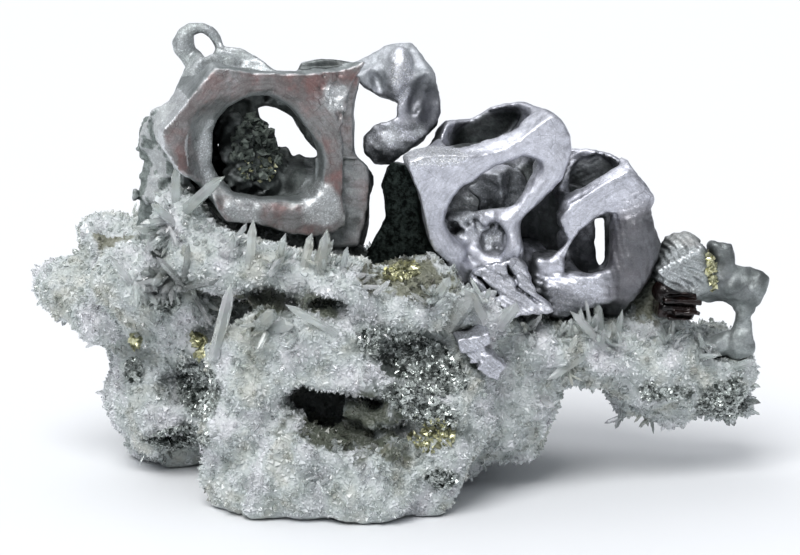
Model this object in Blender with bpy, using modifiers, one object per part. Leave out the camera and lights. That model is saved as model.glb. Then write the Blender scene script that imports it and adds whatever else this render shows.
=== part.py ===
"""Skeletal galena crystals on a quartz matrix, with grains of sphalerite and chalcopyrite.

Metres, +Z up. The origin is on the flat foot of the matrix. +X runs along the specimen, and its front
faces -Y.
"""

import math
import random

import bmesh
import bpy
from mathutils import Euler, Matrix, Vector
from mathutils.bvhtree import BVHTree

MM = 0.001

# Millimetres, unless a name says otherwise.
GAP = 0.3
VIEW_TILT_DEG = 12.0

MATRIX_VOXEL = 0.8
MATRIX_TRIANGLES = 1900
HOLLOW_TRIANGLES = 300
CRYSTAL_VOXEL = 0.42
SEAT_GROWTH = GAP + 0.12
SEAT_TRIANGLES = 240
# The matrix keeps this much more from what sits in it
SEAT_SLACK = 0.4
LUMP_SIZE = 4.2
LUMP_HEIGHT = 4.2
FLOOR_CUT = 40.0
# No needle reaches further left or right of the origin
MATRIX_REACH = 45.6

NEEDLE_COUNT = 64
NEEDLE_SPACING = 2.0
NEEDLE_ROOT = 1.4
# The share of a needle's length that is its point, and of its width that is left below the point
NEEDLE_POINT = 0.28
NEEDLE_TAPER = 0.84
# Places tried for the scattered needles
NEEDLE_TRIES = 1500

# A place is (across, up, back): how far right, how far up the view, and how far back it lies, as seen
# from the front and VIEW_TILT_DEG above level. A lobe adds its three radii.
MATRIX_LOBES = [
    # The core, and the foot under the origin
    ((-15, 15, 4), (17, 13, 12)),
    ((4, 13, 3), (15, 12, 11)),
    ((-1, 6, 0), (14, 12, 8)),
    # The front lump, from its toes up to the ledge
    ((-19, 1.5, -14), (5.0, 6.0, 5.5)),
    ((-12.5, 0.5, -16), (7.0, 6.5, 5.5)),
    ((-5, -0.8, -17), (7.5, 6.5, 5.5)),
    ((1.5, 1.5, -15), (6.5, 6.0, 5.5)),
    ((-8, 4.6, -19), (9.5, 4.5, 3.6)),
    ((4.5, 6.5, -14), (6.0, 6.0, 5.5)),
    ((-20, 7.5, -14), (4.5, 6.0, 6.5)),
    ((-17.5, 13.5, -15), (6.0, 5.5, 7.5)),
    ((-10.5, 15.5, -16), (7.0, 5.5, 6.5)),
    ((-4.0, 12.4, -15.5), (6.5, 5.5, 5.2)),
    ((4.0, 11.8, -12.5), (7.0, 6.0, 5.8)),
    # The ledge that the galena stands behind
    ((-26.5, 31.0, -7), (4.6, 4.5, 5.2)),
    ((-22.0, 27.5, -10), (6.5, 5.0, 4.6)),
    ((-14.5, 25.6, -12), (7.5, 4.5, 3.9)),
    ((-7.0, 23.6, -13), (8.0, 5.0, 4.2)),
    ((0.5, 21.8, -12), (8.0, 6.0, 4.4)),
    ((3.0, 25.0, -9), (4.2, 4.0, 3.0)),
    ((7.5, 20.5, -9), (6.0, 6.0, 4.4)),
    # The left side, lumpy and set back
    ((-29.0, 24.0, -1), (9.0, 8.0, 7.0)),
    ((-36.5, 29.8, 8), (4.8, 5.5, 3.7)),
    ((-32.5, 29.0, 6), (4.6, 6.0, 4.2)),
    ((-41.0, 23.5, 6), (5.0, 6.0, 4.3)),
    ((-36.0, 22.0, 4), (6.0, 6.5, 5.2)),
    ((-33.0, 15.0, 6), (4.0, 6.0, 4.5)),
    ((-29.5, 10.5, 6), (8.0, 9.0, 7.0)),
    ((-34.0, 10.5, 9), (3.4, 4.5, 3.4)),
    ((-28.0, 6.0, 12), (7.5, 8.0, 6.0)),
    # The right arm, which overhangs
    ((12.5, 9.5, -3), (6.5, 8.0, 7.0)),
    ((16.0, 17.5, -2), (8.0, 8.0, 5.2)),
    ((23.5, 16.6, 0), (8.0, 8.0, 4.8)),
    ((31.0, 14.8, 2), (8.0, 8.0, 5.6)),
    ((37.5, 13.0, 4), (6.6, 7.0, 6.0)),
    ((41.0, 9.6, 6), (4.2, 5.0, 3.2)),
    ((33.0, 10.6, 5), (7.0, 5.5, 3.2)),
    # The back, unseen in the photograph
    ((-20.0, 17.0, 15), (11, 7, 10)),
    ((-4.0, 15.5, 16), (11, 7, 10)),
    ((10.0, 14.0, 13), (10, 7, 9)),
    ((24.0, 17.0, 9), (9, 6, 6)),
    ((-8.0, 22.5, 8), (14, 9, 6)),
    ((14.0, 19.5, 8), (10, 8, 5)),
]

# Hollows in the quartz: place, radii, and how far each leans clockwise in the view, in degrees.
MATRIX_HOLLOWS = [
    ((-6.6, 8.2, -24), (7.2, 12.0, 3.0), 4),
    ((1.5, 5.8, -23), (5.0, 8.0, 1.7), 24),
    ((-27.5, 11.0, -4), (3.2, 5.0, 2.6), 25),
    ((-24.5, 9.0, -8), (2.6, 7.0, 4.2), -20),
    ((-16.0, 21.6, -19), (4.6, 4.5, 1.5), 10),
    ((-8.6, 21.0, -20), (2.9, 4.5, 1.3), -5),
    ((-28.0, 4.6, -1), (4.5, 3.5, 1.1), 0),
]

# The needles that are seen largest: where the foot is seen, across and up; the tip from there, right, up
# and back; and the width.
LARGE_NEEDLES = [
    ((-27.1, 34.4), (0.1, 4.4, -0.5), 1.3),
    ((-25.6, 33.2), (4.6, 4.2, -2.5), 1.6),
    ((-17.8, 27.2), (0.4, 5.0, -1.0), 1.3),
    ((-14.6, 27.2), (0.9, 3.2, -1.0), 1.1),
    ((-11.5, 26.6), (1.0, 3.8, -1.0), 1.3),
    ((-9.4, 26.2), (0.9, 4.8, -1.0), 1.7),
    ((-6.9, 26.0), (0.7, 2.8, -1.0), 1.1),
    ((-21.5, 18.4), (1.1, 5.7, -2.0), 1.7),
    ((-26.6, 24.8), (-2.6, 2.8, -1.6), 1.1),
    ((-25.8, 25.6), (0.5, 3.6, -1.6), 1.1),
    ((-27.2, 23.6), (-3.0, -1.2, -1.6), 1.1),
    ((-24.8, 24.2), (3.2, 0.6, -2.4), 1.2),
    ((-24.6, 22.4), (3.0, -1.4, -2.4), 1.1),
    ((-8.8, 19.1), (-4.8, 2.8, -1.8), 1.4),
    ((15.4, 20.2), (0.9, 3.2, -1.4), 1.5),
    ((24.2, 17.5), (-3.5, 3.5, -2.0), 1.5),
    ((24.6, 19.0), (-0.4, 3.2, -1.0), 1.4),
    ((26.8, 18.4), (0.5, 2.8, -1.0), 1.1),
    ((33.5, 17.4), (0.1, 2.4, -1.0), 1.0),
    ((21.6, 14.9), (-3.8, -2.4, -2.0), 1.2),
    ((41.6, 14.0), (2.6, 0.8, -1.0), 1.1),
    ((42.6, 9.8), (2.6, -0.4, -1.0), 1.1),
    ((-40.8, 29.6), (-1.8, 2.8, -0.8), 1.3),
    ((-36.0, 33.0), (-0.6, 3.6, -0.8), 1.3),
    ((-31.4, 32.4), (1.2, 3.2, -1.0), 1.2),
    ((-10.6, 11.4), (1.4, -2.2, -1.6), 1.1),
    ((-5.0, 11.6), (0.4, -2.2, -1.4), 1.0),
    ((-11.6, 6.2), (-1.6, 2.4, -2.0), 1.1),
    ((-3.4, 4.6), (1.0, 2.4, -2.0), 1.1),
]


def place(across, up, back):
    """The point in metres that is seen across, up and back, in millimetres."""
    tilt = math.radians(VIEW_TILT_DEG)
    return Vector((across, back, (up - back * math.sin(tilt)) / math.cos(tilt))) * MM


def turned(yaw=0.0, pitch=0.0, roll=0.0):
    """A rotation in degrees: yaw about Z, pitch forwards about X, and roll clockwise about Y."""
    angles = Euler((math.radians(pitch), math.radians(roll), math.radians(yaw)), "XYZ")
    return angles.to_matrix().to_4x4()


def clear_scene():
    for old in list(bpy.data.objects):
        bpy.data.objects.remove(old)


def new_collection(name, shown=True):
    made = bpy.data.collections.new(name)
    bpy.context.scene.collection.children.link(made)
    made.hide_render = not shown
    return made


def new_material(name, colour, roughness, metallic):
    made = bpy.data.materials.new(name)
    made.use_nodes = True
    shader = made.node_tree.nodes["Principled BSDF"]
    shader.inputs["Base Color"].default_value = (*colour, 1)
    shader.inputs["Roughness"].default_value = roughness
    shader.inputs["Metallic"].default_value = metallic
    return made


def new_object(name, shapes, collection):
    """An object of this name from a bmesh, which it frees."""
    bmesh.ops.recalc_face_normals(shapes, faces=shapes.faces)
    mesh = bpy.data.meshes.new(name)
    shapes.to_mesh(mesh)
    shapes.free()
    made = bpy.data.objects.new(name, mesh)
    collection.objects.link(made)
    return made


def new_cutter(name, shapes):
    made = new_object(name, shapes, CUTTERS)
    made.hide_render = True
    made.display_type = "WIRE"
    return made


def add_lobe(shapes, centre, radii, turn=Matrix.Identity(4), rounds=3):
    """Adds an ellipsoid with its centre in metres and its radii in millimetres."""
    size = Matrix.Diagonal((*(r * MM for r in radii), 1))
    bmesh.ops.create_icosphere(
        shapes, subdivisions=rounds, radius=1, matrix=Matrix.Translation(centre) @ turn @ size
    )


def add_box(shapes, centre, size, turn=Matrix.Identity(4), bevel=0.0):
    """Adds a box with its centre in metres, and its size and the width of its bevels in millimetres."""
    scale = Matrix.Diagonal((*(side * MM for side in size), 1))
    made = bmesh.ops.create_cube(shapes, size=1, matrix=Matrix.Translation(centre) @ turn @ scale)
    if bevel:
        shapes.edges.index_update()
        edges = {edge for corner in made["verts"] for edge in corner.link_edges}
        edges = sorted(edges, key=lambda edge: edge.index)
        bmesh.ops.bevel(shapes, geom=edges, offset=bevel * MM, segments=1, affect="EDGES")


def fused(made, voxel):
    """Fuses the overlapping shapes of an object into one skin."""
    step = made.modifiers.new("fuse", "REMESH")
    step.mode = "VOXEL"
    step.voxel_size = voxel * MM
    return made


def softened(made, rounds):
    step = made.modifiers.new("soften", "SMOOTH")
    step.factor = 0.5
    step.iterations = rounds
    return made


def reduced(made, triangles):
    """Brings an object down to about this many triangles."""
    bpy.context.view_layer.update()
    graph = bpy.context.evaluated_depsgraph_get()
    count = sum(len(face.vertices) - 2 for face in made.evaluated_get(graph).data.polygons)
    step = made.modifiers.new("reduce", "DECIMATE")
    step.ratio = min(1.0, triangles / count)
    return made


def cut(made, cutter, name):
    step = made.modifiers.new(name, "BOOLEAN")
    step.operation = "DIFFERENCE"
    step.object = cutter


def joined(made, other, name):
    step = made.modifiers.new(name, "BOOLEAN")
    step.operation = "UNION"
    step.object = other


def settled(made):
    """Applies the modifiers of an object, and keeps the largest body where they leave loose chips."""
    bpy.context.view_layer.update()
    graph = bpy.context.evaluated_depsgraph_get()
    mesh = bpy.data.meshes.new_from_object(made.evaluated_get(graph))
    made.modifiers.clear()
    made.data = mesh
    shapes = bmesh.new()
    shapes.from_mesh(mesh)
    left = set(shapes.faces)
    bodies = []
    while left:
        body = {left.pop()}
        rim = list(body)
        while rim:
            edges = {edge for face in rim for edge in face.edges if len(edge.link_faces) == 2}
            near = {face for edge in edges for face in edge.link_faces} - body
            body |= near
            rim = list(near)
        left -= body
        bodies.append(body)
    largest = max(bodies, key=len)
    bmesh.ops.delete(shapes, geom=[face for face in shapes.faces if face not in largest], context="FACES")
    bmesh.ops.triangulate(shapes, faces=shapes.faces)
    shapes.to_mesh(mesh)
    shapes.free()
    return made


def add_slab(shapes, outline, thickness, front_centre, turn):
    """Adds an outline, in millimetres across and up from its centre, run back from its front face."""
    curve = bpy.data.curves.new("outline", "CURVE")
    curve.dimensions = "2D"
    curve.fill_mode = "BOTH"
    curve.extrude = thickness / 2 * MM
    spline = curve.splines.new("POLY")
    spline.points.add(len(outline) - 1)
    for point, (across, up) in zip(spline.points, outline):
        point.co = (across * MM, up * MM, 0, 1)
    spline.use_cyclic_u = True
    add_curve(shapes, curve, placed_slab(thickness, front_centre, turn))


def placed_slab(thickness, front_centre, turn):
    """Stands an outline up, with its front face at front_centre before it is turned about that point."""
    stand_up = Matrix.Rotation(math.radians(90), 4, "X")
    set_back = Matrix.Translation((0, thickness / 2 * MM, 0))
    return Matrix.Translation(front_centre) @ turn @ set_back @ stand_up


def add_tube(shapes, stations):
    """Adds a rounded limb through stations of (place, radius in millimetres)."""
    curve = bpy.data.curves.new("limb", "CURVE")
    curve.dimensions = "3D"
    curve.bevel_depth = MM
    curve.bevel_resolution = 3
    curve.use_fill_caps = True
    curve.resolution_u = 6
    spline = curve.splines.new("NURBS")
    spline.points.add(len(stations) - 1)
    for point, (where, radius) in zip(spline.points, stations):
        point.co = (*place(*where), 1)
        point.radius = radius
    spline.order_u = 3
    spline.use_endpoint_u = True
    add_curve(shapes, curve, Matrix.Identity(4))


def add_curve(shapes, curve, matrix):
    """Adds the closed mesh of a curve, and removes the curve."""
    made = bpy.data.objects.new("outline", curve)
    SPECIMEN.objects.link(made)
    bpy.context.view_layer.update()
    mesh = bpy.data.meshes.new_from_object(made.evaluated_get(bpy.context.evaluated_depsgraph_get()))
    mesh.transform(matrix)
    bpy.data.objects.remove(made)
    bpy.data.curves.remove(curve)
    shapes.from_mesh(mesh)
    bmesh.ops.remove_doubles(shapes, verts=shapes.verts, dist=0.00001)
    bpy.data.meshes.remove(mesh)


def carved(made, losses, knuckles):
    """Takes what has dissolved away from a piece, and leaves its knuckles standing."""
    if losses is not None:
        cut(made, losses, "losses")
    if knuckles is not None:
        joined(made, knuckles, "knuckles")
    return fused(made, CRYSTAL_VOXEL)


def envelope(name, shapes, losses, knuckles):
    """The outer form of a piece, not hollow, grown by the gap that its neighbours keep from it."""
    made = fused(new_cutter(name + "_envelope", shapes), CRYSTAL_VOXEL)
    carved(made, losses, knuckles)
    step = made.modifiers.new("grow", "DISPLACE")
    step.mid_level = 0.0
    step.strength = SEAT_GROWTH * MM
    fused(made, CRYSTAL_VOXEL)
    return reduced(made, SEAT_TRIANGLES)


def cutter_of(name, shapes):
    if shapes is None:
        return None
    return fused(new_cutter(name, shapes), CRYSTAL_VOXEL)


def crystal(name, material, triangles, solids, losses=None, hollows=None, knuckles=None, beside=(),
            softening=2):
    """One crystal: solids less what is lost and hollow, its knuckles kept, clear of what is beside it."""
    losses = cutter_of(name + "_losses", losses)
    knuckles = cutter_of(name + "_knuckles", knuckles)
    ENVELOPES[name] = envelope(name, solids.copy(), losses, knuckles)
    made = fused(new_object(name, solids, SPECIMEN), CRYSTAL_VOXEL)
    if hollows is not None:
        cut(made, cutter_of(name + "_hollows", hollows), "hollow")
    carved(made, losses, knuckles)
    softened(made, softening)
    reduced(made, triangles)
    for other in beside:
        cut(made, ENVELOPES[other], "clear of " + other)
    made.data.materials.append(material)
    return settled(made)


def frame_of(front, turn):
    """A function that gives the point across, back and up from the centre of a crystal's front face."""
    def at(across, depth, up):
        return place(*front) + turn.to_3x3() @ (Vector((across, depth, up)) * MM)
    return at


def left_crystal(galena):
    """A cube with corners cut off, nearly square on, with a round hollow and a loop on its back rim."""
    turn = turned(yaw=12)
    front = (-17.0, 40.1, -9.0)
    at = frame_of(front, turn)
    outline = [
        (-4.9, 9.8), (4.0, 9.0), (12.6, 10.0), (10.9, 4.6), (10.3, -1.0), (10.4, -9.0), (7.0, -10.2),
        (0.5, -9.6), (-3.6, -8.6), (-6.8, -4.8), (-9.9, -2.6), (-11.5, 0.6), (-11.4, 3.1),
    ]
    solids = bmesh.new()
    add_slab(solids, outline, 16.5, place(*front), turn)
    # The rough pillar at the back left, and the block at the lower right
    pillar = [
        (-11.6, 9.5, 1.2, 2.1), (-11.6, 11.0, -1.4, 2.7), (-11.0, 9.0, -4.2, 2.6),
        (-10.8, 10.5, -7.0, 3.2), (-9.6, 8.6, -9.4, 3.0),
    ]
    for across, depth, up, radius in pillar:
        add_lobe(solids, at(across, depth, up), (radius, radius * 1.4, radius), rounds=2)
    add_box(solids, at(11.6, 9.0, -5.4), (4.4, 8.0, 8.4), turn @ turned(roll=4), bevel=0.8)
    # The hump on the back rim, and the loop above it
    add_tube(solids, [((-26.0, 49.6, 6), 1.6), ((-22.8, 51.2, 6), 1.6), ((-19.6, 51.8, 7), 1.5),
                      ((-17.0, 50.0, 7), 1.4)])
    add_tube(solids, [((-24.8, 49.8, 6), 1.5), ((-26.4, 51.8, 6), 1.6), ((-26.2, 54.2, 6), 1.5),
                      ((-24.2, 55.4, 6), 1.0), ((-22.4, 54.2, 6), 0.9), ((-22.0, 52.0, 6), 1.1),
                      ((-22.8, 50.6, 6), 1.2)])
    hollows = bmesh.new()
    add_lobe(hollows, at(-0.2, 4.6, 0.1), (8.2, 10.4, 7.9), turn)
    # The hole through the back wall leans down to the right, and the one through the top is wide
    add_lobe(hollows, at(5.6, 14.0, 0.6), (5.2, 6.0, 2.6), turn @ turned(roll=42))
    add_lobe(hollows, at(2.4, 8.0, 9.6), (6.6, 5.2, 4.4), turn)
    add_lobe(hollows, at(5.0, 14.5, 10.2), (4.0, 5.0, 3.4), turn)
    add_lobe(hollows, at(11.0, 14.0, 12.2), (5.0, 6.0, 3.6), turn)
    losses = bmesh.new()
    # The right side is hollow too, and the far left edge has gone
    add_lobe(losses, at(14.2, 9.0, 3.4), (4.8, 5.6, 4.9), turn)
    add_lobe(losses, at(-14.2, 14.0, 7.4), (6.4, 9.0, 5.6), turn)
    knuckles = bmesh.new()
    standing = [
        (-3.6, 10.5, 2.6, 2.3), (-1.4, 12.0, -0.2, 2.0), (-4.6, 9.0, -2.4, 2.4),
        (0.6, 11.0, -3.4, 2.1), (-1.8, 9.0, -5.4, 2.2), (3.4, 11.5, -4.6, 2.0),
    ]
    for across, depth, up, radius in standing:
        add_lobe(knuckles, at(across, depth, up), (radius, radius, radius), rounds=2)
    return crystal("galena_left_crystal", galena, 880, solids, losses, hollows, knuckles)


def centre_crystal(galena):
    """A cube that leans back to the left, with a frame at its front and its lower right corner gone."""
    turn = turned(yaw=12, pitch=7, roll=-17)
    at = frame_of((13.1, 33.9, -8.0), turn)
    solids = bmesh.new()
    add_box(solids, at(0, 8.0, 0), (19.4, 16.0, 16.2), turn, bevel=1.2)
    # Its left side flares as it goes down
    add_box(solids, place(1.9, 31.4, 1.0), (5.4, 13.0, 8.6), turned(yaw=12, roll=10), bevel=0.8)
    hollows = bmesh.new()
    # The opening at the front is a leaning triangle, and the one at the top is nearly as deep as the cube
    add_lobe(hollows, at(-2.6, 5.0, 0.5), (5.0, 9.6, 4.0), turn)
    add_lobe(hollows, at(2.6, 5.0, 2.0), (3.8, 9.6, 2.5), turn)
    add_lobe(hollows, at(-3.4, 4.0, -4.0), (3.4, 7.6, 3.6), turn)
    add_lobe(hollows, at(1.4, 7.9, 7.4), (6.4, 6.4, 5.0), turn)
    # The lower right corner, the far left edge and a gap in the far rim have gone
    losses = bmesh.new()
    add_lobe(losses, at(10.2, 5.0, -6.8), (7.6, 11.0, 7.2), turn)
    add_lobe(losses, at(-9.5, 15.5, 10.0), (7.5, 9.0, 6.2), turn)
    add_lobe(losses, at(-1.8, 16.5, 9.4), (3.4, 3.0, 2.6), turn)
    add_lobe(losses, at(10.4, 17.0, 9.4), (4.4, 5.4, 3.4), turn)
    knuckles = bmesh.new()
    add_tube(knuckles, [((7.6, 27.4, -5), 1.3), ((9.4, 26.2, -6), 1.6), ((12.0, 26.4, -7), 1.7),
                        ((14.0, 28.4, -7), 1.6), ((13.8, 31.2, -6), 1.3), ((12.0, 32.2, -4), 1.2)])
    add_tube(knuckles, [((5.2, 31.6, -3), 1.4), ((9.0, 32.0, -4), 1.2), ((12.0, 32.2, -4), 1.2)])
    add_tube(knuckles, [((12.0, 32.0, -3), 1.5), ((15.0, 36.6, -1), 1.6), ((16.0, 40.0, 2), 1.8)])
    add_tube(knuckles, [((10.0, 27.6, -3), 2.6), ((13.0, 25.6, -1), 3.0), ((15.6, 26.4, 1), 3.0)])
    return crystal("galena_centre_crystal", galena, 880, solids, losses, hollows, knuckles)


def right_crystal(galena):
    """A smaller cube that leans further, open at its front and top, on a block that is not."""
    turn = turned(yaw=4, pitch=9, roll=-31)
    at = frame_of((25.4, 33.9, -6.0), turn)
    solids = bmesh.new()
    add_box(solids, at(0.2, 5.4, 0.2), (10.4, 10.8, 3.6), turn, bevel=0.8)
    # Its near right corner runs down as a wide post, and the others are thinner
    add_tube(solids, [((28.8, 35.4, -3), 2.6), ((28.7, 31.8, -3), 3.2), ((28.1, 28.0, -3), 3.4),
                      ((27.2, 24.6, -3), 3.3), ((25.4, 22.8, -2), 2.6)])
    add_tube(solids, [((29.0, 37.6, 4), 2.0), ((29.6, 33.0, 4), 2.4), ((28.8, 27.4, 3), 3.0),
                      ((27.0, 24.0, 3), 3.0)])
    add_tube(solids, [((21.6, 37.4, 4), 2.2), ((21.9, 33.4, 4), 2.2), ((22.2, 28.4, 3), 2.2),
                      ((22.5, 25.2, 2), 2.6)])
    add_tube(solids, [((20.6, 31.0, -5), 0.9), ((19.8, 28.6, -5), 0.8), ((19.6, 26.4, -4), 1.3)])
    add_box(solids, place(21.4, 23.8, -2.4), (7.6, 9.0, 4.4), turned(yaw=6, roll=-14), bevel=0.7)
    add_box(solids, place(17.2, 26.0, -2.0), (2.6, 7.0, 4.6), turned(yaw=6, roll=4), bevel=0.6)
    hollows = bmesh.new()
    add_lobe(hollows, at(0.4, 5.6, 1.0), (3.6, 3.5, 4.6), turn)
    beside = ["galena_centre_crystal"]
    return crystal("galena_right_crystal", galena, 680, solids, hollows=hollows, beside=beside)


def hook(galena):
    """A limb that bends over from behind the left crystal to the centre one."""
    solids = bmesh.new()
    add_tube(solids, [((-6.4, 51.0, 4), 0.9), ((-4.4, 50.5, 4), 1.8), ((-1.6, 50.4, 5), 3.2),
                      ((1.2, 49.6, 6), 3.5), ((2.4, 47.0, 6), 2.9), ((2.3, 44.2, 5), 2.5),
                      ((0.6, 42.2, 4), 2.2), ((-1.6, 41.6, 3), 2.4)])
    add_lobe(solids, place(-1.9, 41.5, 3), (2.5, 2.6, 2.5))
    beside = ["galena_left_crystal", "galena_centre_crystal"]
    return crystal("galena_hook", galena, 290, solids, beside=beside)


def lower_block(galena):
    solids = bmesh.new()
    add_box(solids, place(14.4, 23.8, -6.4), (7.6, 8.0, 4.4), turned(yaw=8, roll=12), bevel=0.6)
    add_box(solids, place(12.6, 24.6, -8.6), (3.6, 4.0, 2.6), turned(yaw=8, roll=20), bevel=0.4)
    beside = ["galena_centre_crystal", "galena_right_crystal"]
    return crystal("galena_lower_block", galena, 150, solids, beside=beside)


def end_cluster(galena):
    """Blocks and a bent arm at the far right of the specimen."""
    solids = bmesh.new()
    add_box(solids, place(34.4, 26.0, -1.0), (6.2, 7.0, 5.8), turned(yaw=14, pitch=8, roll=-24), bevel=0.6)
    add_lobe(solids, place(34.9, 28.9, 0), (2.2, 2.2, 1.3))
    add_box(solids, place(39.6, 27.0, 1.0), (2.8, 3.6, 4.2), turned(roll=8), bevel=0.5)
    add_tube(solids, [((36.0, 25.0, 1), 2.4), ((39.6, 24.2, 1), 2.4), ((42.6, 23.8, 1), 2.6),
                      ((44.2, 24.2, 1), 1.8)])
    add_lobe(solids, place(44.7, 24.6, 1), (1.2, 1.3, 1.2))
    add_tube(solids, [((43.4, 23.6, 1), 2.2), ((42.8, 21.0, 1), 1.9), ((42.5, 18.8, 1), 1.6),
                      ((41.8, 17.2, 1), 2.1)])
    add_tube(solids, [((43.4, 16.6, 1), 0.9), ((41.0, 17.0, 1), 1.7), ((38.6, 16.4, 1), 1.8)])
    return crystal("galena_end_cluster", galena, 420, solids, beside=["galena_right_crystal"])


def small_blocks(galena):
    """Two small crystals on the front of the matrix."""
    upper = bmesh.new()
    add_box(upper, place(8.8, 17.6, -15.6), (3.4, 3.4, 2.0), turned(yaw=10, pitch=12, roll=-14), bevel=0.3)
    crystal("galena_small_upper", galena, 60, upper, softening=1)
    lower = bmesh.new()
    add_box(lower, place(10.7, 15.0, -15.0), (3.4, 3.6, 3.0), turned(yaw=20, pitch=16, roll=24), bevel=0.3)
    crystal("galena_small_lower", galena, 60, lower, softening=1, beside=["galena_small_upper"])


def grains(name, material, triangles, centre, radii, count, size, beside=()):
    """A crust of small blocks, scattered within radii of centre and grown into one."""
    chance = random.Random(name)
    solids = bmesh.new()
    add_lobe(solids, place(*centre), tuple(0.72 * radius for radius in radii), rounds=2)
    for _ in range(count):
        heading = Vector([chance.gauss(0, 1) for _ in range(3)]).normalized()
        where = place(*centre) + Vector([h * r * MM for h, r in zip(heading, radii)]) * 0.8
        turn = turned(chance.uniform(0, 90), chance.uniform(0, 90), chance.uniform(0, 90))
        add_box(solids, where, [size * chance.uniform(0.7, 1.2) for _ in range(3)], turn)
    return crystal(name, material, triangles, solids, beside=beside, softening=1)


def new_matrix(quartz):
    """Lobes of quartz, lumpy and hollowed, with a seat for each piece that sits in them."""
    lobes = bmesh.new()
    for centre, radii in MATRIX_LOBES:
        add_lobe(lobes, place(*centre), radii)
    made = fused(new_object("quartz_matrix", lobes, SPECIMEN), MATRIX_VOXEL)
    lumps = bpy.data.textures.new("lumps", "CLOUDS")
    lumps.noise_scale = LUMP_SIZE * MM
    lumps.noise_depth = 3
    step = made.modifiers.new("lumps", "DISPLACE")
    step.texture = lumps
    step.texture_coords = "GLOBAL"
    step.mid_level = 0.45
    step.strength = LUMP_HEIGHT * MM
    fused(made, MATRIX_VOXEL)
    seats = bmesh.new()
    bpy.context.view_layer.update()
    for seat in ENVELOPES.values():
        seats.from_mesh(seat.evaluated_get(bpy.context.evaluated_depsgraph_get()).data)
    cut(made, cutter_of("seats", seats), "seats")
    fused(made, MATRIX_VOXEL)
    slack = made.modifiers.new("slack", "DISPLACE")
    slack.mid_level = 0.0
    slack.strength = -SEAT_SLACK * MM
    reduced(made, MATRIX_TRIANGLES)
    hollows = bmesh.new()
    for centre, radii, lean in MATRIX_HOLLOWS:
        add_lobe(hollows, place(*centre), radii, turned(roll=lean), rounds=2)
    cut(made, reduced(cutter_of("matrix_hollows", hollows), HOLLOW_TRIANGLES), "hollows")
    made.data.materials.append(quartz)
    return made


def add_needle(shapes, foot, tip, width):
    """Adds a six-sided crystal from foot to its pointed tip, in metres. Its width is in millimetres."""
    along = tip - foot
    shaft = along.length * (1 - NEEDLE_POINT)
    turn = along.to_track_quat("Z", "Y").to_matrix().to_4x4()
    matrix = Matrix.Translation(foot + along.normalized() * shaft / 2) @ turn
    made = bmesh.ops.create_cone(
        shapes, cap_ends=True, segments=6, radius1=width / 2 * MM, radius2=width * NEEDLE_TAPER / 2 * MM,
        depth=shaft, matrix=matrix
    )
    end = max({face for corner in made["verts"] for face in corner.link_faces},
              key=lambda face: face.calc_center_median().dot(along))
    point = bmesh.ops.poke(shapes, faces=[end])["verts"][0]
    point.co = tip


def seen_on(surface, across, up):
    """The point of a surface that is seen across and up, or just below there where nothing is."""
    tilt = math.radians(VIEW_TILT_DEG)
    gaze = Vector((0, math.cos(tilt), -math.sin(tilt)))
    start = place(across, up, 0) - gaze * 0.2
    hit = surface.ray_cast(start, gaze)[0]
    return hit if hit else seen_on(surface, across, up - 0.4)


def stand_needles(matrix):
    """Grows needles from the matrix: those seen largest, and others scattered over it."""
    bpy.context.view_layer.update()
    skin = matrix.evaluated_get(bpy.context.evaluated_depsgraph_get()).data.copy()
    shapes = bmesh.new()
    shapes.from_mesh(skin)
    surface = BVHTree.FromBMesh(shapes)
    shapes.free()
    needles = bmesh.new()
    taken = []
    for (across, up), (right, rise, back), width in LARGE_NEEDLES:
        start = seen_on(surface, across, up)
        end = start + place(right, rise, back)
        add_needle(needles, start - (end - start).normalized() * NEEDLE_ROOT * MM, end, width)
        taken += [start.lerp(end, share) for share in (0, 0.5, 1)]
    chance = random.Random("needles")
    faces = [face for face in skin.polygons if face.normal.z > -0.45 and face.center.z > 3 * MM]
    for face in chance.choices(faces, [face.area for face in faces], k=NEEDLE_TRIES):
        heading = (face.normal + Vector([chance.uniform(-0.55, 0.55) for _ in range(3)])).normalized()
        length = chance.uniform(2.2, 4.4) * MM
        width = chance.uniform(0.9, 1.6)
        middle = face.center + heading * length / 2
        end = face.center + heading * length
        reach = NEEDLE_SPACING * MM
        crowded = any((spot - near).length < reach for near in taken for spot in (middle, end))
        outside = end.z < MM or abs(end.x) > MATRIX_REACH * MM
        if crowded or outside:
            continue
        if any(touches(spot, other) for spot in (middle, end) for other in ENVELOPES.values()):
            continue
        taken += [face.center.copy(), middle, end]
        add_needle(needles, face.center - heading * NEEDLE_ROOT * MM, end, width)
        if len(taken) > 3 * NEEDLE_COUNT:
            break
    bpy.data.meshes.remove(skin)
    joined(matrix, new_cutter("needles", needles), "needles")
    matrix.modifiers["needles"].use_self = True


def touches(point, other):
    """Whether a point is inside a closed object, or nearly on it."""
    solid = other.evaluated_get(bpy.context.evaluated_depsgraph_get())
    found, near, normal, _ = solid.closest_point_on_mesh(point)
    return found and ((point - near).dot(normal) < 0 or (point - near).length < 0.5 * MM)


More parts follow.
